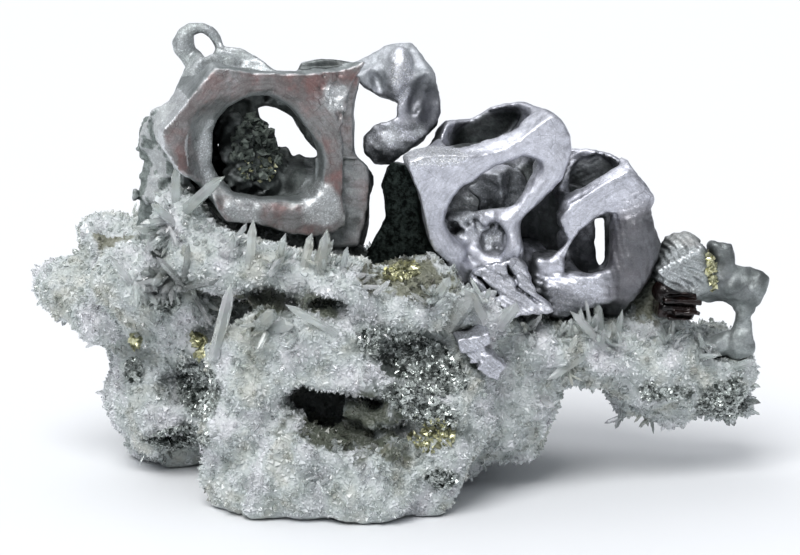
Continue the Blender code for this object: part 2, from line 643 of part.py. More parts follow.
def main():
    galena = new_material("galena", (0.50, 0.50, 0.55), 0.35, 1.0)
    quartz = new_material("quartz", (0.78, 0.79, 0.79), 0.35, 0.0)
    sphalerite = new_material("sphalerite", (0.06, 0.07, 0.06), 0.3, 0.2)
    chalcopyrite = new_material("chalcopyrite", (0.60, 0.52, 0.22), 0.4, 1.0)
    left_crystal(galena)
    centre_crystal(galena)
    right_crystal(galena)
    hook(galena)
    lower_block(galena)
    end_cluster(galena)
    small_blocks(galena)
    grains("sphalerite_end_crystals", sphalerite, 160, (33.8, 22.4, -4.0), (2.9, 2.2, 1.9), 10, 2.0,
           beside=["galena_end_cluster", "galena_right_crystal"])
    grains("sphalerite_front_grains", sphalerite, 260, (2.4, 15.4, -16.4), (5.2, 3.4, 3.2), 30, 1.9,
           beside=["galena_small_upper", "galena_small_lower"])
    grains("sphalerite_left_grains", sphalerite, 160, (-25.0, 11.8, -7.0), (3.0, 5.0, 3.2), 16, 1.7)
    grains("chalcopyrite_left_grain", chalcopyrite, 60, (-32.9, 17.0, -1.0), (1.0, 1.4, 1.1), 6, 1.0)
    grains("chalcopyrite_middle_grain", chalcopyrite, 70, (-24.4, 16.2, -8.6), (1.2, 1.6, 1.6), 8, 1.1)
    grains("chalcopyrite_ledge_grain", chalcopyrite, 80, (0.6, 26.4, -9.4), (2.1, 1.4, 1.0), 10, 1.0,
           beside=["galena_centre_crystal"])
    grains("chalcopyrite_cave_grains", chalcopyrite, 90, (4.4, 6.6, -19.0), (1.9, 1.4, 1.3), 10, 1.1)
    grains("chalcopyrite_end_grain", chalcopyrite, 70, (38.0, 25.6, -1.2), (0.9, 1.2, 2.8), 10, 1.0,
           beside=["galena_end_cluster"])
    matrix = new_matrix(quartz)
    stand_needles(matrix)
    floor = bmesh.new()
    add_box(floor, Vector((0, 0, -FLOOR_CUT / 2 * MM)), (140, 140, FLOOR_CUT))
    cut(matrix, new_cutter("floor", floor), "floor")
    for name, seat in ENVELOPES.items():
        cut(matrix, seat, "seat of " + name)
    settled(matrix)


clear_scene()
SPECIMEN = new_collection("skeletal_galena_specimen")
CUTTERS = new_collection("cutters", shown=False)
ENVELOPES = {}
main()
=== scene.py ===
"""The looks of a skeletal galena specimen: its metal, quartz, grains, floor, light and camera.

Metres, +Z up, in the frame of the CAD model. Tables and forms are in millimetres, and a form becomes
metres when it is made a mesh.
"""

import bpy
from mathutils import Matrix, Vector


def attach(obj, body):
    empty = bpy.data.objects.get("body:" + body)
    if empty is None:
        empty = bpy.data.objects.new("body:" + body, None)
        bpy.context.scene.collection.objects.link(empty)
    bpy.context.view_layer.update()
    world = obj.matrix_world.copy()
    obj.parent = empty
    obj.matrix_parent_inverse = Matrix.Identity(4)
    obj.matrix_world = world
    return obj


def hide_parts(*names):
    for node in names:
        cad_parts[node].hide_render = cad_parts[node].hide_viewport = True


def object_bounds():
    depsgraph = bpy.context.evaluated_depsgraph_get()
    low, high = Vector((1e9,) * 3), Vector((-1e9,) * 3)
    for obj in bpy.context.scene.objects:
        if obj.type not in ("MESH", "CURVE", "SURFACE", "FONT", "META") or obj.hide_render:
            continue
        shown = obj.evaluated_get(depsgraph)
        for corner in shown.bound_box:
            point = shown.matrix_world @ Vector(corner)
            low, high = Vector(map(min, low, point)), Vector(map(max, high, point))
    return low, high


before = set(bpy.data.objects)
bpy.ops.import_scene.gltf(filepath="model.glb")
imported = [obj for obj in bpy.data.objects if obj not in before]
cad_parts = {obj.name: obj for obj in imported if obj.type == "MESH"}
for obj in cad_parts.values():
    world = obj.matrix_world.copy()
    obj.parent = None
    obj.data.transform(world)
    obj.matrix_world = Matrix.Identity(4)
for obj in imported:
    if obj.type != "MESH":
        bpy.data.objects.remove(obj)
CAD_BOX = [list(corner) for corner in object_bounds()]

import math

import bpy
import numpy as np
import openvdb
from mathutils import Euler, Vector
from mathutils.bvhtree import BVHTree

MM = 0.001
VIEW_TILT = math.radians(12.0)
COARSE = 1.0

# How far one grid point is from the next, in millimetres
LARGE_STEP = 0.26 * COARSE
SMALL_STEP = 0.23 * COARSE
QUARTZ_STEP = 0.44 * COARSE
# Distances are kept this far round a shape that is added to a form or taken from it
MARGIN = 3.0
FAR = 9.0
FLAT_STEP = 0.1
# From in front of the specimen to behind it
THROUGH = (-20, 20)

LEVEL = np.eye(3)

# What is looked for from each point to tell how hidden it is: in how many directions, and how far off
DIRECTIONS = 26
PROBES = (0.8, 1.6, 2.6, 4.0, 6.0, 8.5, 11.5)

# The shares of its colours that each point of the metal holds
METAL_MARKS = ("lines", "stain", "glint", "painted_shade", "grit")

# How many crystals, centres of sprays and clusters at the back are placed at random
SUGAR_COUNT = 40000
FINE_COUNT = 3800
SPRAY_CENTRES = 260
BACK_CLUSTERS = 60
# How far crystals may stand outside the CAD box, and how far above the floor they stay
ROOM = 0.9
CLEARANCE = 0.5

PIT_SEED, QUARTZ_SEED, GRAIN_SEED = 4, 8, 15

# In metres
FLOOR_REACH = 6.0
CAMERA_HEIGHT = 0.02506
CAMERA_DISTANCE = 0.5
# The room's light from below and from above: where it starts, and its colour
SKY = [(0.15, (0.15, 0.16, 0.18, 1)), (0.75, (0.89, 0.92, 0.96, 1))]
SKY_STRENGTH = 0.64

# Places


def place(across, up, back):
    """The point that is seen across and up from the origin in the view, and lies this far back."""
    return np.array((across, back, (up - back * math.sin(VIEW_TILT)) / math.cos(VIEW_TILT)))


def seen(points):
    """How far across and up points are seen."""
    up = points[..., 2] * math.cos(VIEW_TILT) + points[..., 1] * math.sin(VIEW_TILT)
    return np.stack((points[..., 0], up), -1)


def turned(yaw=0.0, pitch=0.0, roll=0.0):
    """A rotation in degrees: yaw about Z, pitch forwards about X, and roll clockwise about Y."""
    angles = Euler((math.radians(pitch), math.radians(roll), math.radians(yaw)), "XYZ")
    return np.array(angles.to_matrix())


def unit(vectors):
    """The same directions, each one long."""
    return vectors / np.maximum(np.linalg.norm(vectors, axis=1, keepdims=True), 1e-9)


class Face:
    """The plane of a crystal's front face, with its centre and the crystal's turn."""

    def __init__(self, front, **turn):
        self.centre = place(*front)
        self.turn = turned(**turn)

    def at(self, across, depth, up):
        """The point across the face, into the crystal and up the face from its centre."""
        return self.centre + self.turn @ (across, depth, up)

    def local(self, points):
        """Points as distances across the face, into the crystal and up the face."""
        return (points - self.centre) @ self.turn

    def lobe(self, centre, radii):
        """A lobe that is turned like the crystal, with its centre given as for at."""
        return lobe(self.at(*centre), radii, self.turn)

    def back(self, across, up):
        """How far back the face is where it is seen."""
        gaze = np.array((0, 1, -math.tan(VIEW_TILT)))
        return (self.centre - place(across, up, 0)) @ self.turn[:, 1] / (gaze @ self.turn[:, 1])

    def outline(self, corners):
        """Corners that are seen across and up in the view, as points across and up the face."""
        return np.array([self.local(place(*corner, self.back(*corner)))[[0, 2]] for corner in corners])


# Shapes
# A shape is its lowest corner, its highest corner and a function that gives how far points are outside it.


def lobe(centre, radii, turn=LEVEL):
    """An oval shape."""
    centre, radii = np.array(centre, float), np.array(radii, float)
    half = np.sqrt(((turn * radii) ** 2).sum(axis=1))

    def distance(points):
        local = (points - centre) @ turn
        size = np.linalg.norm(local / radii, axis=-1)
        slope = np.linalg.norm(local / radii ** 2, axis=-1)
        return size * (size - 1) / np.maximum(slope, 1e-6)

    return centre - half, centre + half, distance


def leaning(where, radii, lean):
    """A lobe at a place seen across and up and this far back, leaning clockwise by this many degrees."""
    return lobe(place(*where), radii, turned(roll=lean))


def block(centre, size, turn=LEVEL, rounding=0.5):
    """A box with rounded edges."""
    centre, half = np.array(centre, float), np.array(size, float) / 2
    reach = np.abs(turn) @ half

    def distance(points):
        off = np.abs((points - centre) @ turn) - (half - rounding)
        return np.linalg.norm(np.maximum(off, 0), axis=-1) + np.minimum(off.max(axis=-1), 0) - rounding

    return centre - reach, centre + reach, distance


def limb(*stations):
    """A rounded limb on a smooth line through stations: seen across and up, how far back, and the radius."""
    knots = np.array([(*place(*where), radius) for *where, radius in stations])
    knots = np.vstack((2 * knots[0] - knots[1], knots, 2 * knots[-1] - knots[-2]))
    line = []
    for a, b, c, d in zip(knots, knots[1:], knots[2:], knots[3:]):
        for t in np.linspace(0, 1, 5)[:-1]:
            line.append(0.5 * (2 * b + (c - a) * t + (2 * a - 5 * b + 4 * c - d) * t ** 2
                               + (3 * b - a - 3 * c + d) * t ** 3))
    line.append(knots[-2])
    line = np.array(line)
    line[:, 3] = np.maximum(line[:, 3], 0.2)

    def distance(points):
        found = np.full(points.shape[:-1], FAR)
        for start, end in zip(line, line[1:]):
            along = end[:3] - start[:3]
            off = points - start[:3]
            share = np.clip(off @ along / (along @ along), 0, 1)
            near = np.linalg.norm(off - share[..., None] * along, axis=-1)
            found = np.minimum(found, near - start[3] - share * (end[3] - start[3]))
        return found

    reach = line[:, 3:].max()
    return line[:, :3].min(axis=0) - reach, line[:, :3].max(axis=0) + reach, distance


def grid_of(axes):
    """All points of a grid, from the places along each of its axes."""
    return np.stack(np.meshgrid(*axes, indexing="ij"), -1)


def flat_distance(outline, rounding):
    """A function that gives how far flat points are outside an outline, its corners rounded."""
    outline = np.array(outline, float)
    low = outline.min(axis=0) - MARGIN
    counts = np.ceil((outline.max(axis=0) + MARGIN - low) / FLAT_STEP).astype(int)
    flat = grid_of(np.arange(count) for count in counts) * FLAT_STEP + low
    nearest = np.full(counts, np.inf)
    inside = np.zeros(counts, bool)
    for start, end in zip(outline, np.roll(outline, -1, axis=0)):
        edge = end - start
        off = flat - start
        share = np.clip(off @ edge / (edge @ edge), 0, 1)
        nearest = np.minimum(nearest, ((off - share[..., None] * edge) ** 2).sum(axis=-1))
        if edge[1]:
            beside = start[0] + (flat[..., 1] - start[1]) * edge[0] / edge[1]
            between = (start[1] > flat[..., 1]) != (end[1] > flat[..., 1])
            inside ^= between & (flat[..., 0] < beside)
    table = np.where(inside, -1, 1) * np.sqrt(nearest)
    for _ in range(round((rounding / FLAT_STEP) ** 2 / 2)):
        padded = np.pad(table, 1, mode="edge")
        table = (padded[2:, 1:-1] + padded[:-2, 1:-1] + padded[1:-1, 2:] + padded[1:-1, :-2]) / 4

    def distance(points):
        spot = np.clip((points - low) / FLAT_STEP, 0, counts - 1.001)
        cell = spot.astype(int)
        across, up = np.moveaxis(spot - cell, -1, 0)
        i, j = np.moveaxis(cell, -1, 0)
        return ((table[i, j] * (1 - across) + table[i + 1, j] * across) * (1 - up)
                + (table[i, j + 1] * (1 - across) + table[i + 1, j + 1] * across) * up)

    return distance


def both(across, along):
    """How far outside two limits at once."""
    outside = np.sqrt(np.maximum(across, 0) ** 2 + np.maximum(along, 0) ** 2)
    return outside + np.minimum(np.maximum(across, along), 0)


def prism(face, corners, near, far, flare=0.0, rounding=0.4):
    """What is seen as corners on a face, from depth near to depth far, growing by flare on the way."""
    outline = face.outline(corners)
    flat = flat_distance(outline, rounding)
    ends = np.array([face.at(across, depth, up) for across, up in outline for depth in (near, far)])

    def distance(points):
        local = face.local(points)
        depth = local[..., 1]
        across = flat(local[..., [0, 2]]) - flare * np.maximum(depth, 0)
        return both(across, np.maximum(near - depth, depth - far))

    reach = max(flare, 0) * far
    return ends.min(axis=0) - reach, ends.max(axis=0) + reach, distance


def bore(corners, near, far, rounding=0.4):
    """What is seen as corners in the view, along the line of sight, from near to far back."""
    flat = flat_distance(corners, rounding)
    ends = np.array([place(*corner, back) for corner in corners for back in (near, far)])

    def distance(points):
        back = points[..., 1]
        return both(flat(seen(points)), np.maximum(near - back, back - far))

    return ends.min(axis=0), ends.max(axis=0), distance


# Forms


def noise(points, size, seed=0):
    """Smooth noise from -1 to 1, in lumps of this size."""
    spot = points / size + seed * 19.19
    cell = np.floor(spot)
    part = spot - cell
    part = part * part * (3 - 2 * part)
    total = np.zeros(points.shape[:-1])
    for corner in np.ndindex(2, 2, 2):
        value = np.sin((cell + corner) @ np.array((127.1, 311.7, 74.7))) * 43758.5453
        total += (value - np.floor(value)) * np.prod(np.where(corner, part, 1 - part), axis=-1)
    return total * 2 - 1


def soft_min(first, second, blend):
    """The lesser of two, rounded over where they are closer than blend."""
    share = np.clip(0.5 + 0.5 * (second - first) / blend, 0, 1)
    return second + (first - second) * share - blend * share * (1 - share)


class Form:
    """A solid held as distances outside its surface, on a grid of points."""

    def __init__(self, low, high, step):
        self.step = step
        self.low = np.array(low, float)
        counts = np.ceil((np.array(high) - self.low) / step).astype(int) + 1
        self.axes = [start + step * np.arange(count) for start, count in zip(self.low, counts)]
        self.field = np.full(counts, FAR, np.float32)

    def near(self, low, high):
        """The part of the grid in a box: its slices and its points."""
        part = tuple(
            slice(*np.searchsorted(axis, (first - MARGIN, last + MARGIN)))
            for axis, first, last in zip(self.axes, low, high)
        )
        return part, grid_of(axis[span] for axis, span in zip(self.axes, part))

    def add(self, shape, blend=0.5):
        """Joins a shape to the form, with a rounded seam."""
        low, high, distance = shape
        part, points = self.near(low, high)
        self.field[part] = soft_min(self.field[part], distance(points), blend)

    def take(self, shape, blend=0.5):
        """Takes a shape away from the form."""
        low, high, distance = shape
        part, points = self.near(low, high)
        self.field[part] = -soft_min(-self.field[part], distance(points), blend)

    def keep(self, shape, blend=0.5):
        """Takes away all that is outside a shape."""
        distance = shape[2]
        self.field = -soft_min(-self.field, -distance(grid_of(self.axes)), blend)

    def skin(self, depth=1.2):
        """Where the grid is close to the surface, and its points there."""
        near = np.nonzero(np.abs(self.field) < depth)
        return near, np.stack(near, -1) * self.step + self.low

    def roughen(self, layers, seed=0):
        """Moves the surface by layers of noise, each (height, size)."""
        near, points = self.skin()
        for number, (height, size) in enumerate(layers):
            self.field[near] += height * noise(points, size, seed + number)

    def groove(self, along, spacing, height, where):
        """Cuts parallel grooves across a direction, where the points of the surface say so."""
        near, points = self.skin()
        waves = (points @ np.array(along) + 0.5 * noise(points, 2.6, 9)) / spacing
        self.field[near] += height * np.sin(2 * math.pi * waves) * where(points)

    def at(self, points):
        """How far outside the surface points are."""
        counts = np.array(self.field.shape)
        spot = np.rint((points - self.low) / self.step).astype(int)
        inside = ((spot >= 0) & (spot < counts)).all(axis=-1)
        spot = np.clip(spot, 0, counts - 1)
        return np.where(inside, self.field[tuple(np.moveaxis(spot, -1, 0))], FAR)

    def surface(self):
        """The points and the four-sided faces of the largest piece of the surface."""
        grid = openvdb.FloatGrid(FAR)
        grid.copyFromArray(self.field)
        points, quads = grid.convertToQuads(0.0)
        body = bodies_of(len(points), quads)
        largest = np.bincount(body).argmax()
        kept = body == largest
        renumbered = np.cumsum(kept) - 1
        quads = renumbered[quads[kept[quads[:, 0]]]]
        return points[kept] * self.step + self.low, quads


def edges_of(faces):
    """Where each edge of the faces starts and ends."""
    return faces.ravel(), np.roll(faces, -1, axis=1).ravel()


def bodies_of(count, faces):
    """A number for each point, the same for points that faces join."""
    body = np.arange(count)
    start, end = edges_of(faces)
    while True:
        least = np.minimum(body[start], body[end])
        if (least == body[start]).all() and (least == body[end]).all():
            return body
        np.minimum.at(body, start, least)
        np.minimum.at(body, end, least)
        body = body[body[body]]


# Meshes


def new_piece(name, points, faces, material, nodes=(), smooth=False):
    """A mesh from points in millimetres, which rides on the specimen and stands for CAD nodes."""
    mesh = bpy.data.meshes.new(name)
    mesh.from_pydata((points * MM).tolist(), [], faces, shade_flat=not smooth)
    mesh.materials.append(material)
    mesh.update()
    piece = bpy.data.objects.new(name, mesh)
    bpy.context.scene.collection.objects.link(piece)
    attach(piece, "root")
    if nodes:
        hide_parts(*nodes)
    return piece


def set_values(piece, name, values):
    """Stores a number for each point of a piece, or one for all of them, for its material to read."""
    layer = piece.data.attributes.new(name, "FLOAT", "POINT")
    layer.data.foreach_set("value", np.full(len(layer.data), values, np.float32))


def upright(corners):
    """The direction that each four-sided face points to, as long as twice its area."""
    return np.cross(corners[:, 2] - corners[:, 0], corners[:, 3] - corners[:, 1])


def normals_of(points, faces):
    """The direction each point faces."""
    total = np.zeros_like(points)
    for corner in range(4):
        np.add.at(total, faces[:, corner], upright(points[faces]))
    return unit(total)


def crest_of(points, faces, normals, rounds=3):
    """How far each point stands out from those around it: above 0 on a crest, below it in a groove."""
    start, end = edges_of(faces)
    count = np.bincount(start, minlength=len(points))[:, None]
    mean = points
    for _ in range(rounds):
        total = np.zeros_like(points)
        np.add.at(total, start, mean[end])
        mean = total / count
    return ((points - mean) * normals).sum(axis=1)


def filled_by(forms, step=0.5):
    """One coarse form of all that forms fill."""
    low = np.min([form.low for form in forms], axis=0)
    high = np.max([[axis[-1] for axis in form.axes] for form in forms], axis=0)
    whole = Form(low, high, step)
    for form in forms:
        part, points = whole.near(form.low, [axis[-1] for axis in form.axes])
        whole.field[part] = np.minimum(whole.field[part], form.at(points))
    return whole


def covered(points, normals, around):
    """The share of the space over each point that is filled or hidden."""
    number = np.arange(DIRECTIONS) + 0.5
    rise = 1 - 2 * number / DIRECTIONS
    angle = number * math.pi * (3 - math.sqrt(5))
    level = np.sqrt(1 - rise * rise)
    hidden = np.zeros(len(points))
    total = np.zeros(len(points))
    for direction in np.stack((level * np.cos(angle), level * np.sin(angle), rise), -1):
        weight = np.maximum(normals @ direction, 0)
        blocked = np.zeros(len(points), bool)
        for far in PROBES:
            blocked |= around.at(points + normals * 0.5 + direction * far) < 0
        hidden += weight * blocked
        total += weight
    return hidden / total


def eased(low, high, value):
    """How far a value has come from low to high, from 0 to 1, slowly at both ends."""
    share = np.clip((value - low) / (high - low), 0, 1)
    return share * share * (3 - 2 * share)


def metal_piece(name, form, material, nodes, flow, marks, around):
    """A galena piece from its form.

    flow gives the distance that its growth lines follow, marks the shares of its colours, where they aren't
    zero, and around what fills the space about it.
    """
    points, faces = form.surface()
    normals = normals_of(points, faces)
    piece = new_piece(name, points, faces.tolist(), material, nodes, smooth=True)
    # How hidden the space over each point is: the metal is painted darker there as shade
    set_values(piece, "hollow", eased(0.3, 0.9, covered(points, normals, around)))
    # How far each point stands out: crests are painted lighter as a highlight
    set_values(piece, "crest", eased(0.05, 0.14, crest_of(points, faces, normals)))
    set_values(piece, "flow", flow(points))
    shares = marks(points, normals)
    for key in METAL_MARKS:
        set_values(piece, key, shares.get(key, 0))


# Galena
# Outlines are as seen, across and up. A form is cut off outside its outline.

LEFT = Face((-17.0, 40.1, -9.0), yaw=12)
LEFT_FACE = [
    (-22.1, 50.2), (-18.8, 49.8), (-15.3, 49.6), (-11.3, 49.6), (-7.5, 49.9), (-4.9, 50.8), (-4.2, 51.1),
    (-5.9, 48.2), (-6.6, 45.4), (-6.9, 43.4), (-6.9, 39.3), (-6.9, 34.3), (-6.6, 31.2), (-8.4, 30.4),
    (-10.3, 30.0), (-13.5, 30.4), (-17.5, 31.5), (-20.9, 31.9), (-23.1, 35.0), (-25.1, 36.8),
    (-26.6, 37.6), (-28.4, 40.5), (-28.5, 42.6),
]
LEFT_MOUTH = [
    (-17.8, 46.5), (-15.5, 46.6), (-13.3, 45.3), (-11.4, 43.3), (-10.1, 41.4), (-9.4, 39.4), (-9.6, 36.6),
    (-10.5, 34.9), (-13.1, 34.3), (-16.5, 34.5), (-19.5, 34.9), (-21.0, 36.6), (-21.8, 38.4),
    (-21.5, 40.9), (-21.0, 43.5), (-19.8, 45.3),
]
# Where the far wall is open, and light shows through the crystal
LEFT_LIGHT = [
    (-17.8, 46.2), (-16.6, 46.5), (-15.2, 46.1), (-13.5, 45.1), (-12.4, 43.4), (-11.2, 41.8),
    (-10.2, 40.8), (-10.3, 39.9), (-11.8, 39.8), (-12.6, 40.3), (-13.4, 39.9), (-14.0, 41.2),
    (-15.4, 41.2), (-15.6, 42.8), (-16.6, 43.2), (-16.4, 44.2), (-17.4, 44.8),
]
LEFT_OUTLINE = [
    (-32.1, 30.4), (-32.4, 34.8), (-32.1, 37.9), (-31.2, 39.1), (-31.8, 41.0), (-31.2, 43.8),
    (-30.0, 45.1), (-28.6, 45.7), (-28.0, 46.9), (-26.3, 51.0), (-26.9, 51.9), (-27.8, 52.9),
    (-28.1, 54.1), (-27.5, 55.6), (-26.2, 56.4), (-24.4, 56.5), (-23.0, 55.9), (-22.2, 54.9),
    (-21.8, 53.5), (-19.6, 53.3), (-17.9, 52.3), (-15.3, 50.5), (-12.5, 50.0), (-12.0, 51.2),
    (-8.8, 51.5), (-6.5, 51.1), (-4.2, 51.1), (-5.0, 48.5), (-5.6, 46.8), (-5.7, 44.8), (-5.6, 40.2),
    (-3.9, 38.5), (-3.6, 36.6), (-3.9, 32.9), (-5.0, 29.1), (-7.5, 26.0), (-32.0, 26.0),
]
LOOP_HOLE = [
    (-25.5, 55.0), (-24.4, 55.3), (-23.5, 54.6), (-22.8, 53.4), (-23.1, 52.4), (-24.0, 52.0),
    (-24.7, 53.0), (-25.3, 54.0),
]
# Parts of it that are seen beside the front face
LEFT_PILLAR = [
    (-34.0, 28.0), (-34.0, 44.0), (-30.0, 46.5), (-28.0, 46.4), (-26.6, 43.0), (-26.2, 38.0),
    (-24.2, 34.5), (-21.0, 31.0), (-21.0, 28.0),
]
LEFT_HUMP = [
    (-24.4, 48.4), (-24.2, 51.2), (-22.0, 54.0), (-19.0, 54.0), (-15.5, 52.0), (-12.0, 51.0),
    (-11.6, 48.4),
]
LEFT_STEP = [(-12.5, 48.4), (-12.2, 52.0), (-6.4, 52.0), (-5.6, 48.4)]
LEFT_SIDE = [(-8.0, 49.4), (-4.4, 49.4), (-4.4, 39.4), (-8.0, 39.4)]
LEFT_FOOT = [(-10.4, 39.6), (-6.8, 39.8), (-5.6, 40.2), (-3.0, 38.6), (-3.0, 29.0), (-10.4, 28.6)]
# The loop above its back rim, and the lobes of the heap inside it: seen across and up, how far back, radius
LOOP = [
    (-21.8, 51.6, 5, 1.4), (-24.6, 50.9, 5, 1.3), (-26.4, 52.2, 5, 1.5), (-26.8, 53.8, 5, 1.5),
    (-26.0, 55.4, 5, 1.1), (-24.4, 55.8, 5, 0.8), (-23.0, 55.0, 5, 0.7), (-22.3, 53.8, 5, 0.65),
    (-21.8, 52.4, 5, 0.9),
]
LEFT_HEAP = [
    (-20.6, 43.4, 2, 1.9), (-20.0, 40.6, 0, 2.1), (-18.6, 42.2, 3, 1.9), (-17.2, 42.0, 4, 1.7),
    (-18.2, 39.8, 1, 2.2), (-19.4, 37.4, -1, 2.2), (-16.2, 39.2, 3, 2.0), (-16.8, 36.8, 1, 2.4),
    (-14.6, 38.4, 4, 1.8), (-13.8, 36.4, 3, 2.4), (-11.4, 36.2, 2, 2.4), (-10.8, 38.4, 5, 1.8),
]


def left_form():
    """A cube with corners cut off, nearly square on, with a round hollow and a loop on its back rim."""
    form = Form((-34.5, -13.5, 27.0), (-2.2, 11.5, 58.0), LARGE_STEP)
    form.add(prism(LEFT, LEFT_FACE, 0, 16.5, rounding=0.3))
    # The far right edge and the right side are hollowed from outside, and the far left edge has gone
    form.take(LEFT.lobe((14.8, 9.0, 3.4), (4.9, 6.4, 7.0)), 1.2)
    form.take(LEFT.lobe((-14.2, 14.0, 8.6), (6.4, 9.0, 6.0)), 1.0)
    form.add(bore(LEFT_PILLAR, -4.5, 8.5, 1.0), 0.3)
    for up, back in ((31.0, -5.4), (37.5, -6.2), (34.0, 10.0), (41.5, 9.6)):
        form.take(lobe(place(-32.6, up, back), (4.2, 4.0, 4.6)), 2.0)
    form.add(bore(LEFT_SIDE, -5.6, 1.0), 0.4)
    # The hollow, with a soft lip, that opens out inside, and its way out at the top
    form.take(prism(LEFT, LEFT_MOUTH, -4, 7, flare=0.05), 1.6)
    form.take(LEFT.lobe((-4.6, -0.6, 0.4), (4.0, 3.4, 6.0)), 1.6)
    form.take(LEFT.lobe((0.2, -1.6, 0.4), (8.6, 3.2, 7.4)), 1.4)
    form.take(LEFT.lobe((0.8, 8.2, 0.2), (8.4, 6.4, 7.6)), 0.8)
    form.take(LEFT.lobe((0.4, 7.6, 9.8), (7.0, 4.4, 3.2)), 0.8)
    form.add(bore(LEFT_HUMP, 4.0, 7.6, 0.6), 0.6)
    form.add(bore(LEFT_STEP, -4.5, 5.0), 0.4)
    form.add(bore(LEFT_FOOT, -4.6, 5.0), 0.2)
    form.add(limb(*LOOP), 0.3)
    form.take(bore(LOOP_HOLE, -3, 10, 0.2), 0.4)
    # A rough mass of metal inside it, from its left wall down to its floor, and a slope at the right
    for *where, radius in LEFT_HEAP:
        form.add(lobe(place(*where), (radius, radius * 1.4, radius)), 0.7)
    form.add(limb((-14.6, 38.2, 4, 1.6), (-12.4, 37.0, 1, 2.2), (-10.2, 35.4, -3, 1.6)), 0.8)
    form.keep(bore(LEFT_OUTLINE, *THROUGH, 0.2), 0.3)
    near, points = form.skin(1.8)
    local = LEFT.local(points)
    inside = np.linalg.norm(local[:, [0, 2]] - (-1.0, 0.6), axis=1) < 7.2
    inside &= (local[:, 1] > 4.0) & (points[:, 0] < -12.4)
    rough = 0.7 * noise(points, 1.7, 61) + 0.55 * noise(points, 0.8, 62)
    form.field[near] += rough * (inside + 0.6 * on_pillar(points))
    behind = eased(8.5, 12.0, local[:, 1]) * (1 - eased(44.0, 47.0, seen(points)[:, 1]))
    form.field[near] += 0.8 * noise(points, 3.2, 65) * behind
    form.take(bore(LEFT_LIGHT, -1.0, 12.0, 0.2), 0.3)
    # A pitted patch at its upper right
    chance = np.random.default_rng(PIT_SEED)
    for across, up in chance.normal((-7.9, 46.9), (0.8, 1.1), (60, 2)):
        pit = place(across, up, LEFT.back(across, up))
        form.take(lobe(pit, chance.uniform(0.16, 0.5, 3)), 0.1)
    form.roughen([(0.16, 2.6), (0.08, 0.9), (0.05, 0.45)], 3)
    return form


def on_pillar(points):
    """Whether points are on the rough pillar at the back left of the left crystal, or under it there."""
    across, up = seen(points).T
    beside = (across < -26.6) & (up < 46.2)
    return (beside | ((across < -20.4) & (up < 36.4))) & (LEFT.local(points)[:, 1] > 3.4)


CENTRE = Face((13.1, 33.9, -8.0), yaw=12, pitch=7, roll=-17)
CENTRE_FACE = [
    (0.9, 38.8), (3.1, 39.5), (5.0, 39.8), (7.8, 39.7), (10.0, 39.8), (12.1, 40.5), (13.8, 41.3),
    (15.4, 42.4), (16.9, 43.6), (18.1, 44.4), (19.1, 44.8), (20.0, 43.9), (20.5, 42.5), (20.8, 41.0),
    (19.4, 37.0), (17.9, 35.8), (16.4, 34.6), (14.9, 33.2), (13.9, 32.4), (12.4, 30.0), (10.6, 26.6),
    (8.4, 24.4), (6.8, 24.0), (6.1, 24.7), (5.8, 27.0), (4.4, 28.2), (3.5, 29.7), (3.2, 31.2),
    (2.6, 34.9),
]
CENTRE_MOUTH = [
    (5.7, 31.7), (6.0, 33.6), (7.4, 35.5), (9.9, 37.1), (12.3, 38.1), (15.2, 39.4), (16.9, 39.0),
    (17.4, 38.2), (15.4, 35.2), (13.9, 32.4), (13.2, 30.4), (12.2, 27.6), (10.2, 26.2), (8.5, 26.8),
    (8.2, 28.4), (7.0, 29.3), (6.1, 30.6),
]
CENTRE_TOP = [
    (6.2, 40.0), (6.4, 42.6), (7.6, 43.8), (9.6, 44.7), (10.2, 45.5), (12.6, 45.9), (14.6, 45.9),
    (15.0, 45.2), (13.7, 43.3), (10.2, 40.8), (7.6, 39.9),
]
CENTRE_OUTLINE = [
    (-6.0, 20.0), (-4.4, 27.0), (-3.4, 29.4), (-1.7, 32.4), (-2.2, 36.6), (-1.4, 39.0), (0.4, 40.2),
    (4.6, 43.6), (5.6, 44.7), (8.8, 44.6), (9.7, 45.2), (11.3, 46.2), (13.1, 46.7), (15.4, 46.7),
    (17.2, 45.8), (18.6, 45.0), (19.8, 43.9), (20.6, 42.4), (20.9, 40.8), (20.6, 39.1), (19.8, 37.2),
    (24.0, 36.0), (24.0, 20.0),
]
# The left side of the crystal, painted black as shade, and the corner of it that has gone
CENTRE_SIDE = [
    (0.9, 38.9), (-2.0, 39.6), (-3.6, 36.6), (-3.6, 32.0), (-6.0, 29.0), (-6.0, 25.0), (2.0, 25.0),
    (6.6, 25.4), (4.8, 28.8), (3.6, 31.0), (2.8, 34.9), (1.6, 37.4),
]
CENTRE_GONE = [
    (13.9, 32.4), (14.9, 33.1), (16.4, 34.6), (17.9, 35.7), (19.4, 37.0), (21.0, 41.4), (25.5, 41.0),
    (25.5, 26.0), (15.4, 26.0), (14.8, 29.4),
]
# Metal behind the cavity between the centre crystal and the right one, painted dark as shade
CENTRE_FAR = [
    (12.0, 34.5), (15.0, 38.8), (17.4, 40.0), (20.4, 41.0), (22.6, 40.0), (22.8, 34.0), (20.4, 31.4),
    (20.2, 26.0), (12.4, 26.0),
]
# The far wall of the deep hollow, up to its rim
CENTRE_RIM = [
    (4.4, 38.0), (4.4, 45.4), (9.0, 45.6), (11.0, 47.6), (16.0, 47.6), (18.0, 45.8), (18.0, 38.0),
]
CENTRE_FIN = [
    (8.2, 35.9), (10.4, 37.2), (13.1, 38.5), (14.8, 38.2), (15.8, 36.1), (15.3, 34.1), (14.4, 32.2),
    (11.2, 32.2), (9.6, 33.4), (10.0, 34.8),
]
